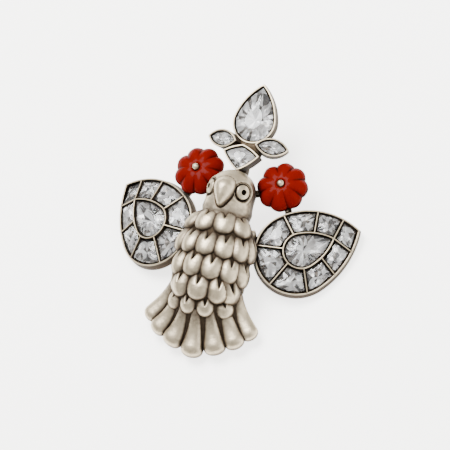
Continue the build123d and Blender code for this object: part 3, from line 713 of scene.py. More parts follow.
print("node helpers ready")

# %% [markdown]
# ## Feathers
# Each feather is a rounded scale with a cleft at its top, where the dark base shows. One
# scale is modelled from its outline as an egg's back that rolls down into the cleft.
# Geometry Nodes then set it on the body in staggered rows, leaned so that the tips stand
# over the row below. The rows were cut by hand and aren't alike, so each has its own turn
# and size, and the first feather of three rows lies deeper.

# %% Feathers
PLUME_HALF_WIDTH = 2.8
PLUME_ROOT = 4.5
PLUME_HEIGHT = 1.4
CLEFT_END = 1.15
PLUME_ROWS = [
    # tip, feathers, pitch, turn, squeeze, size, height, lean, arc, sink of the first
    (0.373, 4, 39.0, -3.0, 0.0, 1.02, 0.95, 0.12, 0.0, 0.0),
    (0.503, 7, 30.0, -4.0, 0.0, 1.00, 1.00, 0.10, 0.4, 0.2),
    (0.620, 6, 30.5, -1.0, 0.0, 1.00, 1.00, 0.10, 0.0, 1.2),
    (0.735, 5, 34.0, 0.0, 0.11, 1.00, 1.00, 0.13, 0.4, 0.6),
    (0.810, 4, 30.0, 0.0, 0.0, 0.76, 0.85, 0.08, 1.4, 0.0),
]


def cleft_half_width(rise):
    return 0.05 + 0.20 * rise


def feather_outline():
    """Half an egg from the cleft's end up it and down the side to the tip, then the other half."""
    half = [(cleft_half_width(rise), CLEFT_END + rise) for rise in np.linspace(0, 2.8, 14)]
    for degrees in range(78, -95, -4):
        turn = math.radians(degrees)
        length, fullness = (PLUME_ROOT, 0.72) if degrees > 0 else (PLUME_HALF_WIDTH, 1.0)
        half.append((PLUME_HALF_WIDTH * math.cos(turn) ** fullness, length * math.sin(turn)))
    half[-1] = (0.0, -PLUME_HALF_WIDTH)
    return [(0.0, half[0][1])] + half + [(-x, y) for x, y in half[-2::-1]]


def feather_height(x, y):
    """An egg's back that rolls down into the cleft."""
    length = PLUME_ROOT if y > 0 else PLUME_HALF_WIDTH
    power = 2 + 0.8 * min(1.0, max(0.0, y))
    dome = math.sqrt(max(0.0, 1 - abs(x / PLUME_HALF_WIDTH) ** power - (y / length) ** 2))
    if y > CLEFT_END:
        beside = max(0.0, abs(x) - cleft_half_width(y - CLEFT_END))
    else:
        beside = math.hypot(x, y - CLEFT_END)
    roll = math.sqrt(1 - (1 - min(beside / 0.7, 1.0)) ** 2)
    return PLUME_HEIGHT * dome * (0.4 + 0.6 * roll) - x * x / 17 - 0.2 * max(0.0, y - 0.5)


def feather_shell():
    """One feather as rings that shrink towards its middle, over a deep foot."""
    outline = feather_outline()
    loops = [[(x, y, -1.5) for x, y in outline]]
    rings = (1.0, 0.985, 0.96, 0.925, 0.88, 0.82, 0.74, 0.65, 0.54, 0.42, 0.28, 0.14)
    for ring in rings:
        loops.append([(x * ring, y * ring, feather_height(x * ring, y * ring)) for x, y in outline])
    # the rim of each feather and its upper part, under the row above, are darker: partly patina, partly
    # painted shade
    points, faces, reached = lofted(loops, [0.3] + [1 - 0.5 * ring**5 for ring in rings])
    reached = [reach * (1 - 0.38 * eased(0.9, 3.8, place[1])) for place, reach in zip(points, reached)]
    return points, faces, reached


def feather_places():
    """Where each feather lies on the body, how it is turned and its size."""
    places, turns, sizes = [], [], []
    for tip, count, pitch, turned, squeeze, size, tall, lean, arc, first_sink in PLUME_ROWS:
        for k in range(count):
            angle = math.radians((k - (count - 1) / 2) * pitch + turned)
            angle *= 1 - squeeze * angle**2
            y = HEAD_TOP - BIRD_LENGTH * tip + PLUME_HALF_WIDTH * size + arc * angle**2
            along = along_at(y, angle)
            across, upwards, out, radian = body_axes(along, angle)
            turn = Matrix((across, upwards, out)).transposed() @ Matrix.Rotation(-lean, 3, "X")
            places.append(tuple(body_point(along, angle) - out * (0.0 if k else first_sink)))
            turns.append(tuple(turn.to_euler("XYZ")))
            sizes.append((size * max(0.88, radian / section(along)[0]), size, tall))
    return places, turns, sizes


def feather_tree():
    tree, entry, leave = tree_with("feathers in rows", [
        ("Feather", "NodeSocketObject", None), ("Metal", "NodeSocketMaterial", None),
        ("Full size", "NodeSocketFloat", 1.0)])
    one = add(tree, "GeometryNodeObjectInfo", {"Object": entry.outputs["Feather"]})
    turn = add(tree, "FunctionNodeEulerToRotation", {0: carried(tree, "turn", "FLOAT_VECTOR")})
    size = add(tree, "ShaderNodeVectorMath", {0: carried(tree, "size", "FLOAT_VECTOR"),
                                              "Scale": entry.outputs["Full size"]}, operation="SCALE")
    rows = add(tree, "GeometryNodeInstanceOnPoints", {
        "Points": entry.outputs[0], "Instance": one.outputs["Geometry"],
        "Rotation": turn.outputs[0], "Scale": size.outputs[0]})
    return in_metal(tree, rows.outputs[0], entry, leave)


def feathers():
    points, faces, reached = feather_shell()
    mesh = bpy.data.meshes.new("one_feather")
    mesh.from_pydata(points, [], faces)
    with_values(mesh, "reach", reached)
    template = in_scene("one_feather", mesh)
    places, turns, sizes = feather_places()
    host = host_with("feather_places", places, [], turn=turns, size=sizes)
    made = grown("feathers", host, feather_tree(), {"Feather": template, "Metal": silver, "Full size": 1.0})
    bpy.data.objects.remove(template)
    return made


plumage = feathers()
print("feathers:", sum(row[1] for row in PLUME_ROWS), "of", len(feather_outline()), "points round")

# %% [markdown]
# ## Ribs of the tail
# Seven ribs fan out from under the last feathers. Each follows a line on the body, so the
# lines are worked out, carry the rib's half width and the outward direction with them,
# and Geometry Nodes sweep a flattened round along them. Where the width falls to nothing
# the end closes as a rounded tip. Towards its end a rib leaves the body's line: the middle
# one reaches lower, and the outer two hang lower still and bow inwards.

# %% Ribs of the tail
RIB_PITCH = 22.0
RIB_FLATNESS = 0.72
RIB_START = 0.775
RIB_END = 0.992
RIB_SINK = 0.35
# how far each rib's end moves outwards and upwards, from the middle rib to the last
RIB_SPREAD = ((0.0, -0.9), (0.8, 0.0), (0.9, 0.1), (0.4, -1.25))
# how far the outer ribs bow inwards
RIB_BOW = {-3: 0.25, 3: 0.8}


def rib_angle(k):
    return math.radians(k * RIB_PITCH * (1.06 if abs(k) == 3 else 1.0))


def rib_point(k, along, share):
    """A place on a rib, moved off the body's line as its share of the length grows."""
    outwards, upwards = RIB_SPREAD[abs(k)]
    bow = RIB_BOW.get(k, 0.0) * 4 * share * (1 - share)
    shift = Vector((math.copysign(1, k) * (outwards * share**2 - bow), upwards * share**2, 0))
    return body_point(along, rib_angle(k)) + shift


def rib_lines():
    """The ribs' lines, with half widths, outward directions and reach. Each end is rounded."""
    points, edges, widths, outs, reached = [], [], [], [], []
    steps = 44
    for k in range(-3, 4):
        angle = rib_angle(k)
        beside = k - 1 if k > 0 else k + 1
        full = (rib_point(k, 1.0, 1.0) - rib_point(beside, 1.0, 1.0)).length / 2
        for i in range(steps + 1):
            share = 1 - (1 - i / steps) ** 1.6
            along = RIB_START + (RIB_END - RIB_START) * share
            place = rib_point(k, along, share)
            half = (place - rib_point(beside, along, share)).length / 2
            half *= 0.62 + 0.52 * share
            left = (rib_point(k, RIB_END, 1.0) - place).length / (full * 0.95)
            half *= math.sqrt(max(0.0015, 1 - max(0.0, 1 - left) ** 2))
            out = (body_axes(min(along, 0.99), angle)[2] + Vector((0, 0, 0.8))).normalized()
            points.append(tuple(place - out * RIB_SINK))
            widths.append(half)
            outs.append(tuple(out))
            reached.append(0.6 + 0.4 * eased(0.0, 0.5, share))
            if i:
                edges.append((len(points) - 2, len(points) - 1))
    return points, edges, widths, outs, reached


def rib_tree():
    tree, entry, leave = tree_with("ribs along lines", [
        ("Flatness", "NodeSocketFloat", 0.5), ("Points round", "NodeSocketInt", 32),
        ("Metal", "NodeSocketMaterial", None)])
    line = add(tree, "GeometryNodeMeshToCurve", {"Mesh": entry.outputs[0]})
    facing = add(tree, "GeometryNodeSetCurveNormal", {
        "Curve": line.outputs[0], "Normal": carried(tree, "out", "FLOAT_VECTOR")}, mode="FREE")
    ring = add(tree, "GeometryNodeCurvePrimitiveCircle", {"Resolution": entry.outputs["Points round"],
                                                          "Radius": 1.0}, mode="RADIUS")
    shape = add(tree, "ShaderNodeCombineXYZ", {0: entry.outputs["Flatness"], 1: 1.0, 2: 1.0})
    flat = add(tree, "GeometryNodeTransform", {"Geometry": ring.outputs[0], "Scale": shape.outputs[0]})
    rib = add(tree, "GeometryNodeCurveToMesh", {
        "Curve": facing.outputs[0], "Profile Curve": flat.outputs[0],
        "Scale": carried(tree, "half_width"), "Fill Caps": True})
    return in_metal(tree, rib.outputs[0], entry, leave)


def ribs():
    points, edges, widths, outs, reached = rib_lines()
    host = host_with("rib_lines", points, edges, half_width=widths, reach=reached, out=outs)
    return grown("tail_ribs", host, rib_tree(), {
        "Flatness": RIB_FLATNESS, "Points round": 36, "Metal": silver})


tail = ribs()
print("tail:", len(tail.data.vertices), "points")

# %% [markdown]
# ## Outlines of stones and settings
# A stone, the gap beside it and the wall round it all follow one outline at different
# distances. So each outline is a small class that can give its points moved inwards.

# %% Outlines
def between(a, b, share=0.5):
    """A place part of the way from one to another, halfway unless told."""
    return tuple(p + (q - p) * share for p, q in zip(a, b))


def meeting(first, first_radius, second, second_radius, near):
    """The point where two circles meet, the one nearer to a place."""
    dx, dy = second[0] - first[0], second[1] - first[1]
    apart = math.hypot(dx, dy)
    along = (first_radius**2 - second_radius**2 + apart**2) / (2 * apart)
    off = math.sqrt(max(0.0, first_radius**2 - along**2))
    ux, uy = dx / apart, dy / apart
    foot = (first[0] + along * ux, first[1] + along * uy)
    ends = [(foot[0] - off * uy, foot[1] + off * ux), (foot[0] + off * uy, foot[1] - off * ux)]
    return min(ends, key=lambda end: math.dist(end, near))


class Pear:
    """A belly circle about (0, 0) and two side arcs that meet at a tip on +X."""

    def __init__(self, reach, belly, upper, lower, inset=0.0):
        self.sizes = (reach, belly, upper, lower)
        self.belly = belly - inset
        self.centres, self.radii, self.tangents = [], [], []
        for radius, side in ((upper, -1), (lower, 1)):
            x = ((radius - belly) ** 2 - radius**2 + reach**2) / (2 * reach)
            self.centres.append((x, side * math.sqrt((radius - belly) ** 2 - x**2)))
            self.radii.append(radius - inset)
        self.tip = meeting(self.centres[0], self.radii[0], self.centres[1], self.radii[1], (reach, 0))
        for x, y in self.centres:
            share = self.belly / math.hypot(x, y)
            self.tangents.append((-x * share, -y * share))

    def inset(self, amount):
        return Pear(*self.sizes, inset=amount)

    def point_at(self, degrees):
        """Where the outline lies in one direction from the belly's middle."""
        dx, dy = polar(1.0, degrees)
        side = 0 if dy >= 0 else 1
        tx, ty = self.tangents[side]
        if math.atan2(abs(dy), dx) >= math.atan2(abs(ty), tx):
            return polar(self.belly, degrees)
        cx, cy = self.centres[side]
        along = dx * cx + dy * cy
        return polar(along + math.sqrt(along**2 - cx**2 - cy**2 + self.radii[side] ** 2), degrees)

    def points(self, count):
        return [self.point_at(360.0 * i / count) if i else self.tip for i in range(count)]


class ArcOutline:
    """A closed outline of arcs that bulge outwards between its corners."""

    def __init__(self, corners, bulges, inset=0.0):
        self.given = (corners, bulges)
        self.centres, self.radii, self.corners = [], [], []
        for i, (a, bulge) in enumerate(zip(corners, bulges)):
            b = corners[(i + 1) % len(corners)]
            chord = math.dist(a, b)
            radius = (chord**2 / 4 + bulge**2) / (2 * bulge)
            share = (radius - bulge) / chord
            mx, my = between(a, b)
            self.centres.append((mx - (b[1] - a[1]) * share, my + (b[0] - a[0]) * share))
            self.radii.append(radius - inset)
        for i, corner in enumerate(corners):
            self.corners.append(meeting(self.centres[i - 1], self.radii[i - 1],
                                        self.centres[i], self.radii[i], corner))

    def inset(self, amount):
        return ArcOutline(*self.given, inset=amount)

    def points(self, count):
        per_side = count // len(self.corners)
        found = []
        for side, a in enumerate(self.corners):
            b = self.corners[(side + 1) % len(self.corners)]
            centre = self.centres[side]
            start = math.atan2(a[1] - centre[1], a[0] - centre[0])
            turn = 2 * math.asin(math.dist(a, b) / 2 / self.radii[side])
            found += [polar(self.radii[side], math.degrees(start + turn * k / per_side), centre)
                      for k in range(per_side)]
        return found


print("a pear 16 mm long has its tip at", [round(v, 2) for v in Pear(11.0, 5.0, 14.0, 14.0).tip])

# %% [markdown]
# ## Wings
# Each wing is a shallow tray whose rim is a thin wall. A raised pear sits in the middle,
# and eight walls run down from it to the rim, so the wing is domed. The walls are lofted
# from cross-sections with slightly rolled tops, because that thin bright line along every
# wall is what the eye reads first. Their sides are left dark: patina where no cloth gets
# in, and on the outside of the rim partly painted shade.

# %% Wings
WING_PLANE = plane((17.39, -5.25, -3.07), (0.7556, 0.587, -0.290), (0.3195, 0.056, 0.946))
WING = Pear(15.56, 9.64, 16.5, 22.0)
WING_PEAR = Pear(8.0, 4.12, 12.7, 12.7)
PEAR_SHIFT = 1.14
PEAR_LIFT = 1.6
RIM_WALL = 0.36
CELL_WALL = 0.27
TRAY_DEPTH = 2.0
TRAY_FLOOR = -1.3
CELL_WALLS = [
    # at_rim, at_pear, in degrees from the wing's axis
    (15.5, 0.0),
    (42.0, 33.0),
    (86.0, 93.0),
    (146.0, 151.0),
    (208.0, 202.0),
    (264.0, 257.0),
    (310.0, 320.0),
    (341.6, 360.0),
]


def rolled_top(wall):
    """Inset, height and reach over the top of a wall with rolled edges, and down inside."""
    return [(0.00, -0.09, 0.9), (0.02, -0.03, 1.1), (0.08, 0.00, 1.2), (wall - 0.08, 0.00, 1.2),
            (wall - 0.02, -0.03, 1.1), (wall, -0.09, 0.4), (wall, -0.40, 0.05)]


# the low reach on the rim's outer wall is partly patina, partly painted shade
TRAY_PROFILE = [(-0.29, -TRAY_DEPTH, 0.3), (-0.34, -1.97, 0.5), (-0.35, -1.90, 0.5), (-0.17, -1.00, 0.2),
                (-0.04, -0.30, 0.3), *rolled_top(RIM_WALL), (RIM_WALL, TRAY_FLOOR, 0.05)]


def pear_wall_point(degrees):
    x, y = WING_PEAR.point_at(degrees)
    return (x + PEAR_SHIFT, y)


def outline_loops(outline, profile, count, shift=0.0):
    return [[(x + shift, y, height) for x, y in outline.inset(inset).points(count)]
            for inset, height, _ in profile]


def tray_shell():
    return lofted(outline_loops(WING, TRAY_PROFILE, 180), [row[2] for row in TRAY_PROFILE])


def pear_wall_shell():
    half = [(0.15, TRAY_FLOOR, 0.1), (0.15, 0.5, 0.2), (0.15, PEAR_LIFT - 0.08, 0.6),
            (0.13, PEAR_LIFT - 0.03, 1.1), (0.08, PEAR_LIFT, 1.2)]
    profile = [(-inset, height, reach) for inset, height, reach in half] + half[::-1]
    profile.append(profile[0])
    loops = outline_loops(WING_PEAR, profile, 120, PEAR_SHIFT)
    return lofted(loops, [row[2] for row in profile], capped=False)


def cell_wall_shell(at_rim, at_pear):
    """A wall whose top falls from the pear's wall to the rim."""
    start, end = Vector(pear_wall_point(at_pear)), Vector(WING.inset(RIM_WALL / 2).point_at(at_rim))
    side = (end - start).orthogonal().normalized() * CELL_WALL / 2
    # across, drop from the top, reach; None stands for the foot
    half = [(1, None, 0.15), (1, -0.09, 0.7), (0.86, -0.03, 1.1), (0.5, 0, 1.2)]
    profile = [(-across, drop, reach) for across, drop, reach in half] + half[::-1]
    stations = 7
    loops = []
    for k in range(stations):
        share = k / (stations - 1)
        x, y = start.lerp(end, share)
        top = PEAR_LIFT * (1 - share)
        loops.append([(x + side.x * across, y + side.y * across,
                       TRAY_FLOOR - 0.2 if drop is None else top + drop) for across, drop, _ in profile])
    points, faces, _ = lofted(loops)
    return points, faces, [reach for _, _, reach in profile] * stations + [0.3, 0.3]


wing_shells = [tray_shell(), pear_wall_shell()] + [cell_wall_shell(*row) for row in CELL_WALLS]
wing_shells = [turned_by(WING_PLANE, shell) for shell in wing_shells]
wing_right = piece_of("wing_setting_right", wing_shells, [silver], smooth_under=50)
wing_shells = [mirrored(shell) for shell in wing_shells]
wing_left = piece_of("wing_setting_left", wing_shells, [silver], smooth_under=50)
print("wing walls:", len(CELL_WALLS))

# %% [markdown]
# ## Crest
# A large pear, two marquises and a spade stand over the head in deep cups. The cups are
# lofted from their outlines. Between them runs solder that was left rough: a lump pushed
# about by a few sine waves looks like it.

# %% Crest
CREST_FOOT = HEAD_TOP - 0.25
CREST_BACK = -3.0
CUP_WALL = 0.38
CREST_PEAR = Pear(9.1, 5.15, 14.0, 14.0)
CREST_PEAR_PLANE = plane((0, CREST_FOOT + 12.52, -0.6), (0, 1, 0), (0, 0, 1))
MARQUISE = ArcOutline([(3.95, 0), (-3.95, 0)], [2.15, 2.15])
MARQUISE_PLANE = Matrix.Translation((6.22, CREST_FOOT + 7.25, 0.36)) @ Matrix.Rotation(
    math.radians(15.6), 4, "Y") @ Matrix.Rotation(math.radians(2.8), 4, "Z")
SPADE = ArcOutline([(0, 0), (4.47, 4.15), (0, 6.3), (-4.47, 4.15)], [0.35, 0.28, 0.28, 0.35])
SPADE_FRONT = 2.4
SPADE_DEPTH = 3.1
SPADE_PLANE = Matrix.Translation((0, CREST_FOOT, SPADE_FRONT))
# inset, height, reach; None is the height of the back
# the low reach on each cup's outer wall is partly patina, partly painted shade
CUP_PROFILE = [(0.05, None, 0.2), (0.00, -0.50, 0.4), *rolled_top(CUP_WALL), (CUP_WALL, -1.75, 0.05)]


def cup_shell(place, outline, low_z, count):
    """A cup whose walls run straight back to one height, and whose floor lies inside."""
    loops = []
    for inset, height, _ in CUP_PROFILE:
        loop = []
        for x, y in outline.inset(inset).points(count):
            point = place @ Vector((x, y, height or 0.0))
            if height is None:
                point -= place.col[2].to_3d() * ((point.z - low_z) / place.col[2].z)
            loop.append(tuple(point))
        loops.append(loop)
    return lofted(loops, [row[2] for row in CUP_PROFILE])


def solder_shell(low, high, rough, square=0.45, reach=0.45):
    """A lump that fills a box, with a grainy skin: the lower square is, the boxier."""
    middle = (Vector(low) + Vector(high)) / 2
    half = (Vector(high) - Vector(low)) / 2
    loops = []
    rings, count = 40, 72
    for k in range(1, rings):
        rise = math.pi * (k / rings - 0.5)
        loop = []
        for i in range(count):
            turn = 2 * math.pi * i / count
            unit = [math.cos(rise) * math.cos(turn), math.cos(rise) * math.sin(turn), math.sin(rise)]
            unit = [math.copysign(abs(v) ** square, v) for v in unit]
            a, b, c = unit
            grain = math.sin(9 * a + 2 * b) * math.sin(11 * b + 1) * math.sin(7 * c + 2)
            grain += 0.6 * math.sin(23 * a - 3) * math.sin(27 * b + 5 * c)
            loop.append([middle[n] + half[n] * unit[n] * (1 + rough * grain) for n in range(3)])
        loops.append(loop)
    return lofted(loops, [reach] * len(loops))


marquise_cup = cup_shell(MARQUISE_PLANE, MARQUISE, CREST_BACK, 96)
crest_shells = [
    cup_shell(CREST_PEAR_PLANE, CREST_PEAR, CREST_BACK, 144),
    marquise_cup,
    mirrored(marquise_cup),
    cup_shell(SPADE_PLANE, SPADE, SPADE_FRONT - SPADE_DEPTH, 96),
    solder_shell((-3.4, CREST_FOOT + 4.4, CREST_BACK), (3.4, CREST_FOOT + 8.2, -0.75), 0.05),
    solder_shell((-1.4, CREST_FOOT - 1.6, CREST_BACK), (1.4, CREST_FOOT + 2.4, -0.1), 0.04),
]
crest = piece_of("crest_settings", crest_shells, [silver], smooth_under=50)
print("crest:", len(crest_shells), "shells")

# %% [markdown]
# ## Fittings behind the flowers
# Each flower sits on a small disc, held by an arm from the head and a brace to the wing.
# Beads of solder show where they meet, and a rough lump of it fills the corner between
# body and wing. None of the rest is in full view, so the forms are plain, but they have
# rolled edges like the rest of the casting.

# %% Fittings
flower_front = Vector((math.sin(math.radians(4.5)), math.sin(math.radians(9.0)), 1)).normalized()
flower_side = (Vector((1, 0, 0)) - flower_front * flower_front.x).normalized()
FLOWER_PLANE = plane((HEAD_SIDE + 4.73, HEAD_TOP - 1.2, BACK + 1.4), flower_side, flower_front)


def bar_shell(start, end, width, thick):
    """A flat bar with rolled edges between two places."""
    start, end = Vector(start), Vector(end)
    run = (end - start).normalized()
    side = run.cross(Vector((0, 0, 1))).normalized()
    up = side.cross(run)
    corners = [(1, 0.6), (0.85, 0.9), (0.6, 1), (-0.6, 1), (-0.85, 0.9), (-1, 0.6),
               (-1, -0.6), (-0.85, -0.9), (-0.6, -1), (0.6, -1), (0.85, -0.9), (1, -0.6)]
    loops = [[tuple(place + side * a * width / 2 + up * b * thick / 2) for a, b in corners]
             for place in (start.lerp(end, k / 6) for k in range(7))]
    return lofted(loops, [0.7] * 7)


def blob_shell(middle, radius):
    """A bead of solder, a little flattened."""
    lay = plane(middle, (1, 0, 0), (0, 0, 1))
    profile = [(radius * math.cos(math.radians(a)), 0.94 * radius * math.sin(math.radians(a)))
               for a in range(-84, 85, 12)]
    return spun(lay, profile, 32)


SEAT = [(2.1, -2.7), (2.26, -2.66), (2.3, -2.55), (2.3, -1.92), (2.26, -1.83), (2.15, -1.8)]
arm_end = FLOWER_PLANE @ Vector((0, 0, -2.25)) - Vector((0, 0, 0.33))
brace_x, brace_y = WING.point_at(78.0)
brace_far = WING_PLANE @ Vector((brace_x * 0.936, brace_y * 0.936, -TRAY_DEPTH - 0.1))
bead_x, bead_y = WING.point_at(80.8)
fitting_shells = [
    spun(FLOWER_PLANE, SEAT, reach=[0.6] * len(SEAT)),
    bar_shell((HEAD_SIDE - 3.0, HEAD_TOP - 4.3, BACK + 1.0), arm_end, 1.6, 0.9),
    bar_shell(arm_end, brace_far, 1.6, 0.9),
    blob_shell(WING_PLANE @ Vector((bead_x * 1.059, bead_y * 1.059, -0.45)), 0.4),
    blob_shell((HEAD_SIDE * 0.88, HEAD_TOP - 3.6, BACK + 2.3), 0.5),
    solder_shell((4.6, -11.5, -3.2), (8.3, -2.2, 1.3), 0.05, square=1.0, reach=1.1),
]
fitting_shells += [mirrored(shell) for shell in fitting_shells]
fittings = piece_of("flower_seats_and_arms", fitting_shells, [silver], smooth_under=60)
print("fittings:", len(fitting_shells), "shells")

# %% [markdown]
# ## Cut stones
# A cut stone has a flat table, a crown of small facets round it, a thin girdle at its
# widest and a pavilion of facets down to a point. The facets alternate between the
# corners and the middles of the sides. Each facet is flat, so the shading is flat too.

# %% Cut stones
STONE_GAP = 0.40
CREST_GAP = 0.28
GIRDLE = 0.16
GIRDLE_SINK = 0.40
TABLE = 0.46
CELL_CROWN = 0.62
CELL_PAVILION = 1.05


def cut_stone(outline, level, crown, pavilion):
    """A stone on an outline. level gives the girdle's height at a place.

    Each face also gets its kind: 0 is glass, 1 is foil, 2 is foil at the edge.
    """
    count = len(outline)
    centre = tuple(sum(p[k] for p in outline) / count for k in (0, 1))
    middles = [between(p, outline[(i + 1) % count]) for i, p in enumerate(outline)]
    points, faces, kinds = [], [], []

    def ring(places, share, height, uneven=0.0):
        start = len(points)
        for i, place in enumerate(places):
            x, y = between(centre, place, share * (1 + uneven * math.sin(5.1 * i + 1)))
            points.append((x, y, level(x, y) + height + uneven * math.sin(2.4 * i)))
        return [start + i for i in range(count)]

    table = ring(middles, TABLE, crown)
    knee = ring(outline, 0.77, crown * 0.54)
    corner, side = ring(outline, 1.0, 0.0), ring(middles, 1.0, 0.0)
    low_corner, low_side = ring(outline, 1.0, -GIRDLE), ring(middles, 1.0, -GIRDLE)
    upper = ring(outline, 0.78, -GIRDLE - pavilion * 0.30, pavilion * 0.06)
    deep = ring(middles, 0.45, -GIRDLE - pavilion * 0.66, pavilion * 0.17)
    culet = len(points)
    points.append((*centre, level(*centre) - GIRDLE - pavilion))
    faces.append(tuple(table))
    for i in range(count):
        j = (i + 1) % count
        faces += [(table[i - 1], knee[i], table[i]), (table[i], knee[i], side[i]),
                  (table[i], side[i], knee[j]), (knee[i], corner[i], side[i]), (knee[j], side[i], corner[j]),
                  (corner[i], low_corner[i], low_side[i], side[i]),
                  (side[i], low_side[i], low_corner[j], corner[j])]
    kinds += [0] * len(faces)
    for i in range(count):
        j = (i + 1) % count
        faces += [(low_corner[i], upper[i], low_side[i]), (low_side[i], upper[j], low_corner[j]),
                  (low_side[i], upper[i], deep[i]), (low_side[i], deep[i], upper[j]),
                  (upper[i], deep[i - 1], deep[i]), (deep[i], deep[i - 1], culet)]
        kinds += [2, 2, 1, 1, 1, 1]
    return (points, faces, [1.0] * len(points)), kinds


def flat_stone(outline, crown, pavilion):
    return cut_stone(outline, lambda x, y: -GIRDLE_SINK, crown, pavilion)


def moved_in(corners, insets):
    """Corners of a convex polygon, each of whose edges is moved in by its own amount."""
    lines = []
    for i, (a, inset) in enumerate(zip(corners, insets)):
        b = corners[(i + 1) % len(corners)]
        dx, dy = [(q - p) / math.dist(a, b) for p, q in zip(a, b)]
        lines.append((-dy, dx, -dy * a[0] + dx * a[1] + inset))
    result = []
    for i, (nx, ny, n) in enumerate(lines):
        mx, my, m = lines[i - 1]
        scale = mx * ny - my * nx
        result.append(((m * ny - n * my) / scale, (mx * n - nx * m) / scale))
    return result


def cell_stone(rim_points, starts, bulge, high_level, low_level):
    """The stone of a cell, from its corners on the rim and where its walls start."""
    beside_wall = CELL_WALL / 2 + STONE_GAP
    insets = [STONE_GAP] * (len(rim_points) - 1) + [beside_wall]
    if len(starts) == 2:
        insets.append(beside_wall + bulge)
    insets.append(beside_wall)
    corners = moved_in(rim_points + starts, insets)
    last = len(rim_points) - 1
    inner = between(starts[0], starts[-1])
    outer = between(rim_points[last // 2], rim_points[(last + 1) // 2])

    def level(x, y):
        share = sum((p - a) * (b - a) for p, a, b in zip((x, y), inner, outer))
        share /= math.dist(inner, outer) ** 2
        return high_level + (low_level - high_level) * share - GIRDLE_SINK

    outline = []
    for i, corner in enumerate(corners):
        outline.append(corner)
        if i >= last:
            outline.append(between(corner, corners[(i + 1) % len(corners)]))
    return cut_stone(outline, level, CELL_CROWN, CELL_PAVILION)


def bulge_of(low, high, start, end):
    """How far the pear's wall stands out past the straight line between two places."""
    dx, dy = [(b - a) / math.dist(start, end) for a, b in zip(start, end)]
    angles = [low + (high - low) * k / 16 for k in range(17)]
    return max((x - start[0]) * dy - (y - start[1]) * dx for x, y in map(pear_wall_point, angles))


def cell_stones():
    """The eight stones of a wing: the one at the tip, then round the pear."""
    rim = WING.inset(RIM_WALL)
    tip_rim = [rim.point_at(-18.4), rim.tip, rim.point_at(15.5)]
    stones = [cell_stone(tip_rim, [pear_wall_point(0)], 0, PEAR_LIFT - 0.6, -0.35)]
    for (low_rim, low), (high_rim, high) in zip(CELL_WALLS, CELL_WALLS[1:]):
        rim_points = [rim.point_at(low_rim + (high_rim - low_rim) * k / 3) for k in range(4)]
        starts = [pear_wall_point(high), pear_wall_point(low)]
        stones.append(cell_stone(rim_points, starts, bulge_of(low, high, *starts[::-1]), PEAR_LIFT, 0))
    return stones


def placed_stones():
    """Every stone as node name, place, shell and kinds, for the right half and the middle."""
    pear_outline = [(x + PEAR_SHIFT, y) for x, y in WING_PEAR.inset(CELL_WALL / 2 + STONE_GAP).points(16)]
    lift = Matrix.Translation((0, 0, PEAR_LIFT))
    found = [("wing_pear_right", WING_PLANE @ lift, flat_stone(pear_outline, 0.95, 1.9))]
    for number, stone in enumerate(cell_stones(), 1):
        found.append((f"wing_stone_{number}_right", WING_PLANE, stone))
    for node, place, outline, corners, crown, pavilion in (
            ("crest_marquise_right", MARQUISE_PLANE, MARQUISE, 10, 0.8, 1.2),
            ("crest_pear", CREST_PEAR_PLANE, CREST_PEAR, 16, 1.15, 1.15),
            ("crest_spade", SPADE_PLANE, SPADE, 12, 0.8, 1.3)):
        around = outline.inset(CUP_WALL + CREST_GAP).points(corners)
        found.append((node, place, flat_stone(around, crown, pavilion)))
    return found


def stone_piece(node, shell, kinds):
    """A stone whose foil facets each have their own painted glint: mostly bright, a few dark, and the edge
    facets darker as painted shade.
    """
    chance = np.random.default_rng(sum(node.encode()))
    dark_share, at_edge = (0.2, 0.95) if node.startswith("crest") else (0.35, 0.45)
    glints = []
    for kind in kinds:
        dark, tone = chance.random(2)
        glint = 0.05 + 0.35 * tone if dark < dark_share else 0.65 + 0.35 * tone
        glints.append(float(glint * (at_edge if kind == 2 else 1.0)))
    kinds = [min(kind, 1) for kind in kinds]
    return piece_of("glass_" + node, [shell], [glass, foil], kinds, glints, smooth_under=0)


stones = []
for node, place, (shell, kinds) in placed_stones():
    shell = turned_by(place, shell)
    stones.append((node, stone_piece(node, shell, kinds)))
    if node.endswith("right"):
        other = node.replace("right", "left")
        stones.append((other, stone_piece(other, mirrored(shell), kinds)))
print("stones:", len(stones), "with up to", max(len(made.data.polygons) for _, made in stones), "facets")

# %% [markdown]
# ## Coral flowers
# A carved bead like a small melon: eight round lobes, cut apart by grooves that are deep
# at the rim and fade towards the dimple in the middle. Its shape follows a rule, so it is
# worked out row by row from the dimple over the top and round under to the seat.

# %% Coral flowers
FLOWER_RADIUS = 6.0
FLOWER_TOP = 2.7
FLOWER_UNDER = 1.75
NOTCH_IN = 0.70
NOTCH_DOWN = 0.62
LOBES = 8
LOBE_STEPS = 16
FLOWER_ROWS = 38
FIRST_LATITUDE = 77
LAST_LATITUDE = -63
DIMPLE = ((0.6, 0.75), (0.72, 0.62), (0.88, 0.32), (1.02, 0.13), (1.18, 0.02))


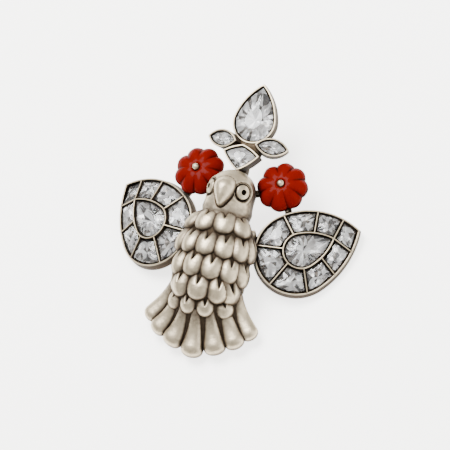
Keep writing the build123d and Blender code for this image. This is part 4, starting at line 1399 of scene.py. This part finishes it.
def flower_shell(first_groove):
    """A flower whose grooves start at an angle, from its dimple round to its seat."""
    top_edge = FLOWER_TOP * math.sqrt(1 - (1.25 / FLOWER_RADIUS) ** 2)
    count = LOBES * LOBE_STEPS
    lobes = []
    for i in range(count):
        off = 2 * (i % LOBE_STEPS) / LOBE_STEPS - 1
        lobes.append(0.65 * math.sqrt(1 - off**2) + 0.35 * (1 + math.cos(math.pi * off)) / 2)
    rows = [[(radius, top_edge - drop)] * count for radius, drop in DIMPLE]
    for step in range(FLOWER_ROWS):
        latitude = FIRST_LATITUDE - step * (FIRST_LATITUDE - LAST_LATITUDE) / (FLOWER_ROWS - 1)
        rise = math.radians(latitude)
        full = math.cos(rise) ** (0.82 if latitude > 0 else 0.75)
        row = []
        for lobe in lobes:
            radius = FLOWER_RADIUS * full - NOTCH_IN * (1 - lobe) * math.cos(rise) ** 2
            z = (FLOWER_TOP if latitude > 0 else FLOWER_UNDER) * math.sin(rise)
            if latitude > 0:
                z -= NOTCH_DOWN * (1 - lobe) * math.sin(2 * rise) * math.cos(rise)
            row.append((radius, z))
        rows.append(row)
    rows += [[(2.3, -FLOWER_UNDER)] * count, [(DIMPLE[0][0], -FLOWER_UNDER)] * count]
    loops = [[(*polar(radius, first_groove + 360 * i / count), z) for i, (radius, z) in enumerate(row)]
             for row in rows]
    loops.append(loops[0])
    return turned_by(FLOWER_PLANE, lofted(loops, capped=False))


flower_right = piece_of("coral_right", [flower_shell(31.0)], [coral])
flower_left = piece_of("coral_left", [mirrored(flower_shell(39.0))], [coral])
print("lobes:", LOBES)

# %% [markdown]
# ## How far the polishing cloth reached, with painted shade
# Patina stays wherever a cloth can't go on the silver. Each point casts a few short rays, and
# the share that hits something near says how shut in the place is. On the coral, which has
# no patina, that darkening of shut-in places is painted shade. What faces sideways or down
# is made darker too: partly the cloth rubbing what faces up, partly painted shade. The
# result is stored on the mesh, so the dark lines stay in the recesses from any side and
# after export.

# %% Patina and painted shade from open and shut-in places
RAY_LENGTH = 2.2 * MM
RAY_START = 0.03 * MM
# how open a place is where the cloth only just gets in, and how much more makes it bright
JUST_OPEN = 0.49
OPEN_RANGE = 0.50
polished_pieces = [bird, plumage, tail, wing_right, wing_left, crest, fittings, flower_right, flower_left]


def ray_directions(count):
    """Evenly spread directions about +Z, more of them near it."""
    found = []
    for k in range(count):
        rise = math.sqrt((k + 0.5) / count)
        turn = k * math.pi * (3 - math.sqrt(5))
        found.append(Vector((rise * math.cos(turn), rise * math.sin(turn), math.sqrt(1 - rise * rise))))
    return found


def surroundings():
    """Every surface that can shut a place in, ready for rays."""
    points, polygons = [], []
    for made in polished_pieces + [stone for _, stone in stones]:
        start = len(points)
        points += [v.co.copy() for v in made.data.vertices]
        polygons += [tuple(start + v for v in p.vertices) for p in made.data.polygons]
    return BVHTree.FromPolygons(points, polygons)


def store_polish_and_shade(made, tree, rays):
    """Stores on each point how far the cloth reached it, darkened as painted shade where it faces down; on
    the coral all of it is painted shade.
    """
    reach = made.data.attributes.get("reach")
    values = []
    for i, vertex in enumerate(made.data.vertices):
        normal = vertex.normal
        turn = normal.to_track_quat("Z", "Y")
        start = vertex.co + normal * RAY_START
        shut = 0.0
        for ray in rays:
            hit = tree.ray_cast(start, turn @ ray, RAY_LENGTH)[3]
            if hit is not None:
                shut += 1 - hit / RAY_LENGTH
        openness = 1 - shut / len(rays)
        value = (openness - JUST_OPEN) / OPEN_RANGE * (reach.data[i].value if reach else 1.0)
        # partly the cloth's reach, partly painted shade: what faces sideways or down is darkened
        value *= 0.5 + 0.5 * eased(-0.15, 0.5, normal.z)
        values.append(min(1.0, max(0.0, value)))
    with_values(made.data, "polish_and_shade", values)
    return sum(values) / len(values)


air = surroundings()
rays = ray_directions(18)
for made in polished_pieces:
    print(made.name, "is polished", round(store_polish_and_shade(made, air, rays), 2), "on average")

# %% [markdown]
# ## Floor and light
# A plain pale floor and large soft lights, as in a small product studio. The floor glows
# a little, like a light table, so that it stays pale and lights the silver from below.
# Silver shows what is around it, so one big light stands above and to the left and a
# weaker one to the right, with a pale room behind them.

# %% Floor and light
def floor_piece():
    mesh = bpy.data.meshes.new("floor")
    mesh.from_pydata([(-3, -3, 0), (3, -3, 0), (3, 3, 0), (-3, 3, 0)], [], [(0, 1, 2, 3)])
    material, tree = finish_named("pale studio floor")
    shaded(tree, {"Base Color": linear("#f6f5f2"), "Roughness": 0.9, "Emission Color": linear("#fbfaf7"),
                  "Emission Strength": 3.0})
    mesh.materials.append(material)
    in_scene("floor", mesh)


def soft_light(name, across, up, near, distance, size, power):
    """A square light that stands off from the brooch in the camera's directions."""
    data = bpy.data.lights.new(name, "AREA")
    data.size, data.energy = size, power
    made = in_scene(name, data)
    way = (sideways * across + upward * up + towards * near).normalized()
    made.location = aim + way * distance
    made.rotation_mode = "QUATERNION"
    made.rotation_quaternion = way.to_track_quat("Z", "Y")


floor_piece()
soft_light("key", -0.5, 0.8, 0.7, 0.55, 0.34, 8.5)
soft_light("fill", 0.8, 0.1, 0.8, 0.6, 0.45, 2.0)
world = bpy.data.worlds.new("pale room")
world.use_nodes = True
world.node_tree.nodes["Background"].inputs[0].default_value = linear("#f2f1ee")
world.node_tree.nodes["Background"].inputs[1].default_value = 1.0
bpy.context.scene.world = world
print("lights:", len(bpy.data.lights))

# %% [markdown]
# ## Putting the pieces on the body
# Every piece rides on the one body, and the CAD nodes it stands for are hidden. The wire
# fittings keep their CAD meshes.

# %% Put the pieces on the body
for made in (bird, plumage, tail, wing_right, wing_left, crest, fittings):
    kept(made, "silver", "silver_mount")
for node, made in stones:
    kept(made, "glass_stone", node)
kept(flower_right, "coral", "coral_flower_right")
kept(flower_left, "coral", "coral_flower_left")
for node in ("brooch_pin", "flower_pin_left", "flower_pin_right"):
    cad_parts[node].data.materials.clear()
    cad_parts[node].data.materials.append(plain_silver)
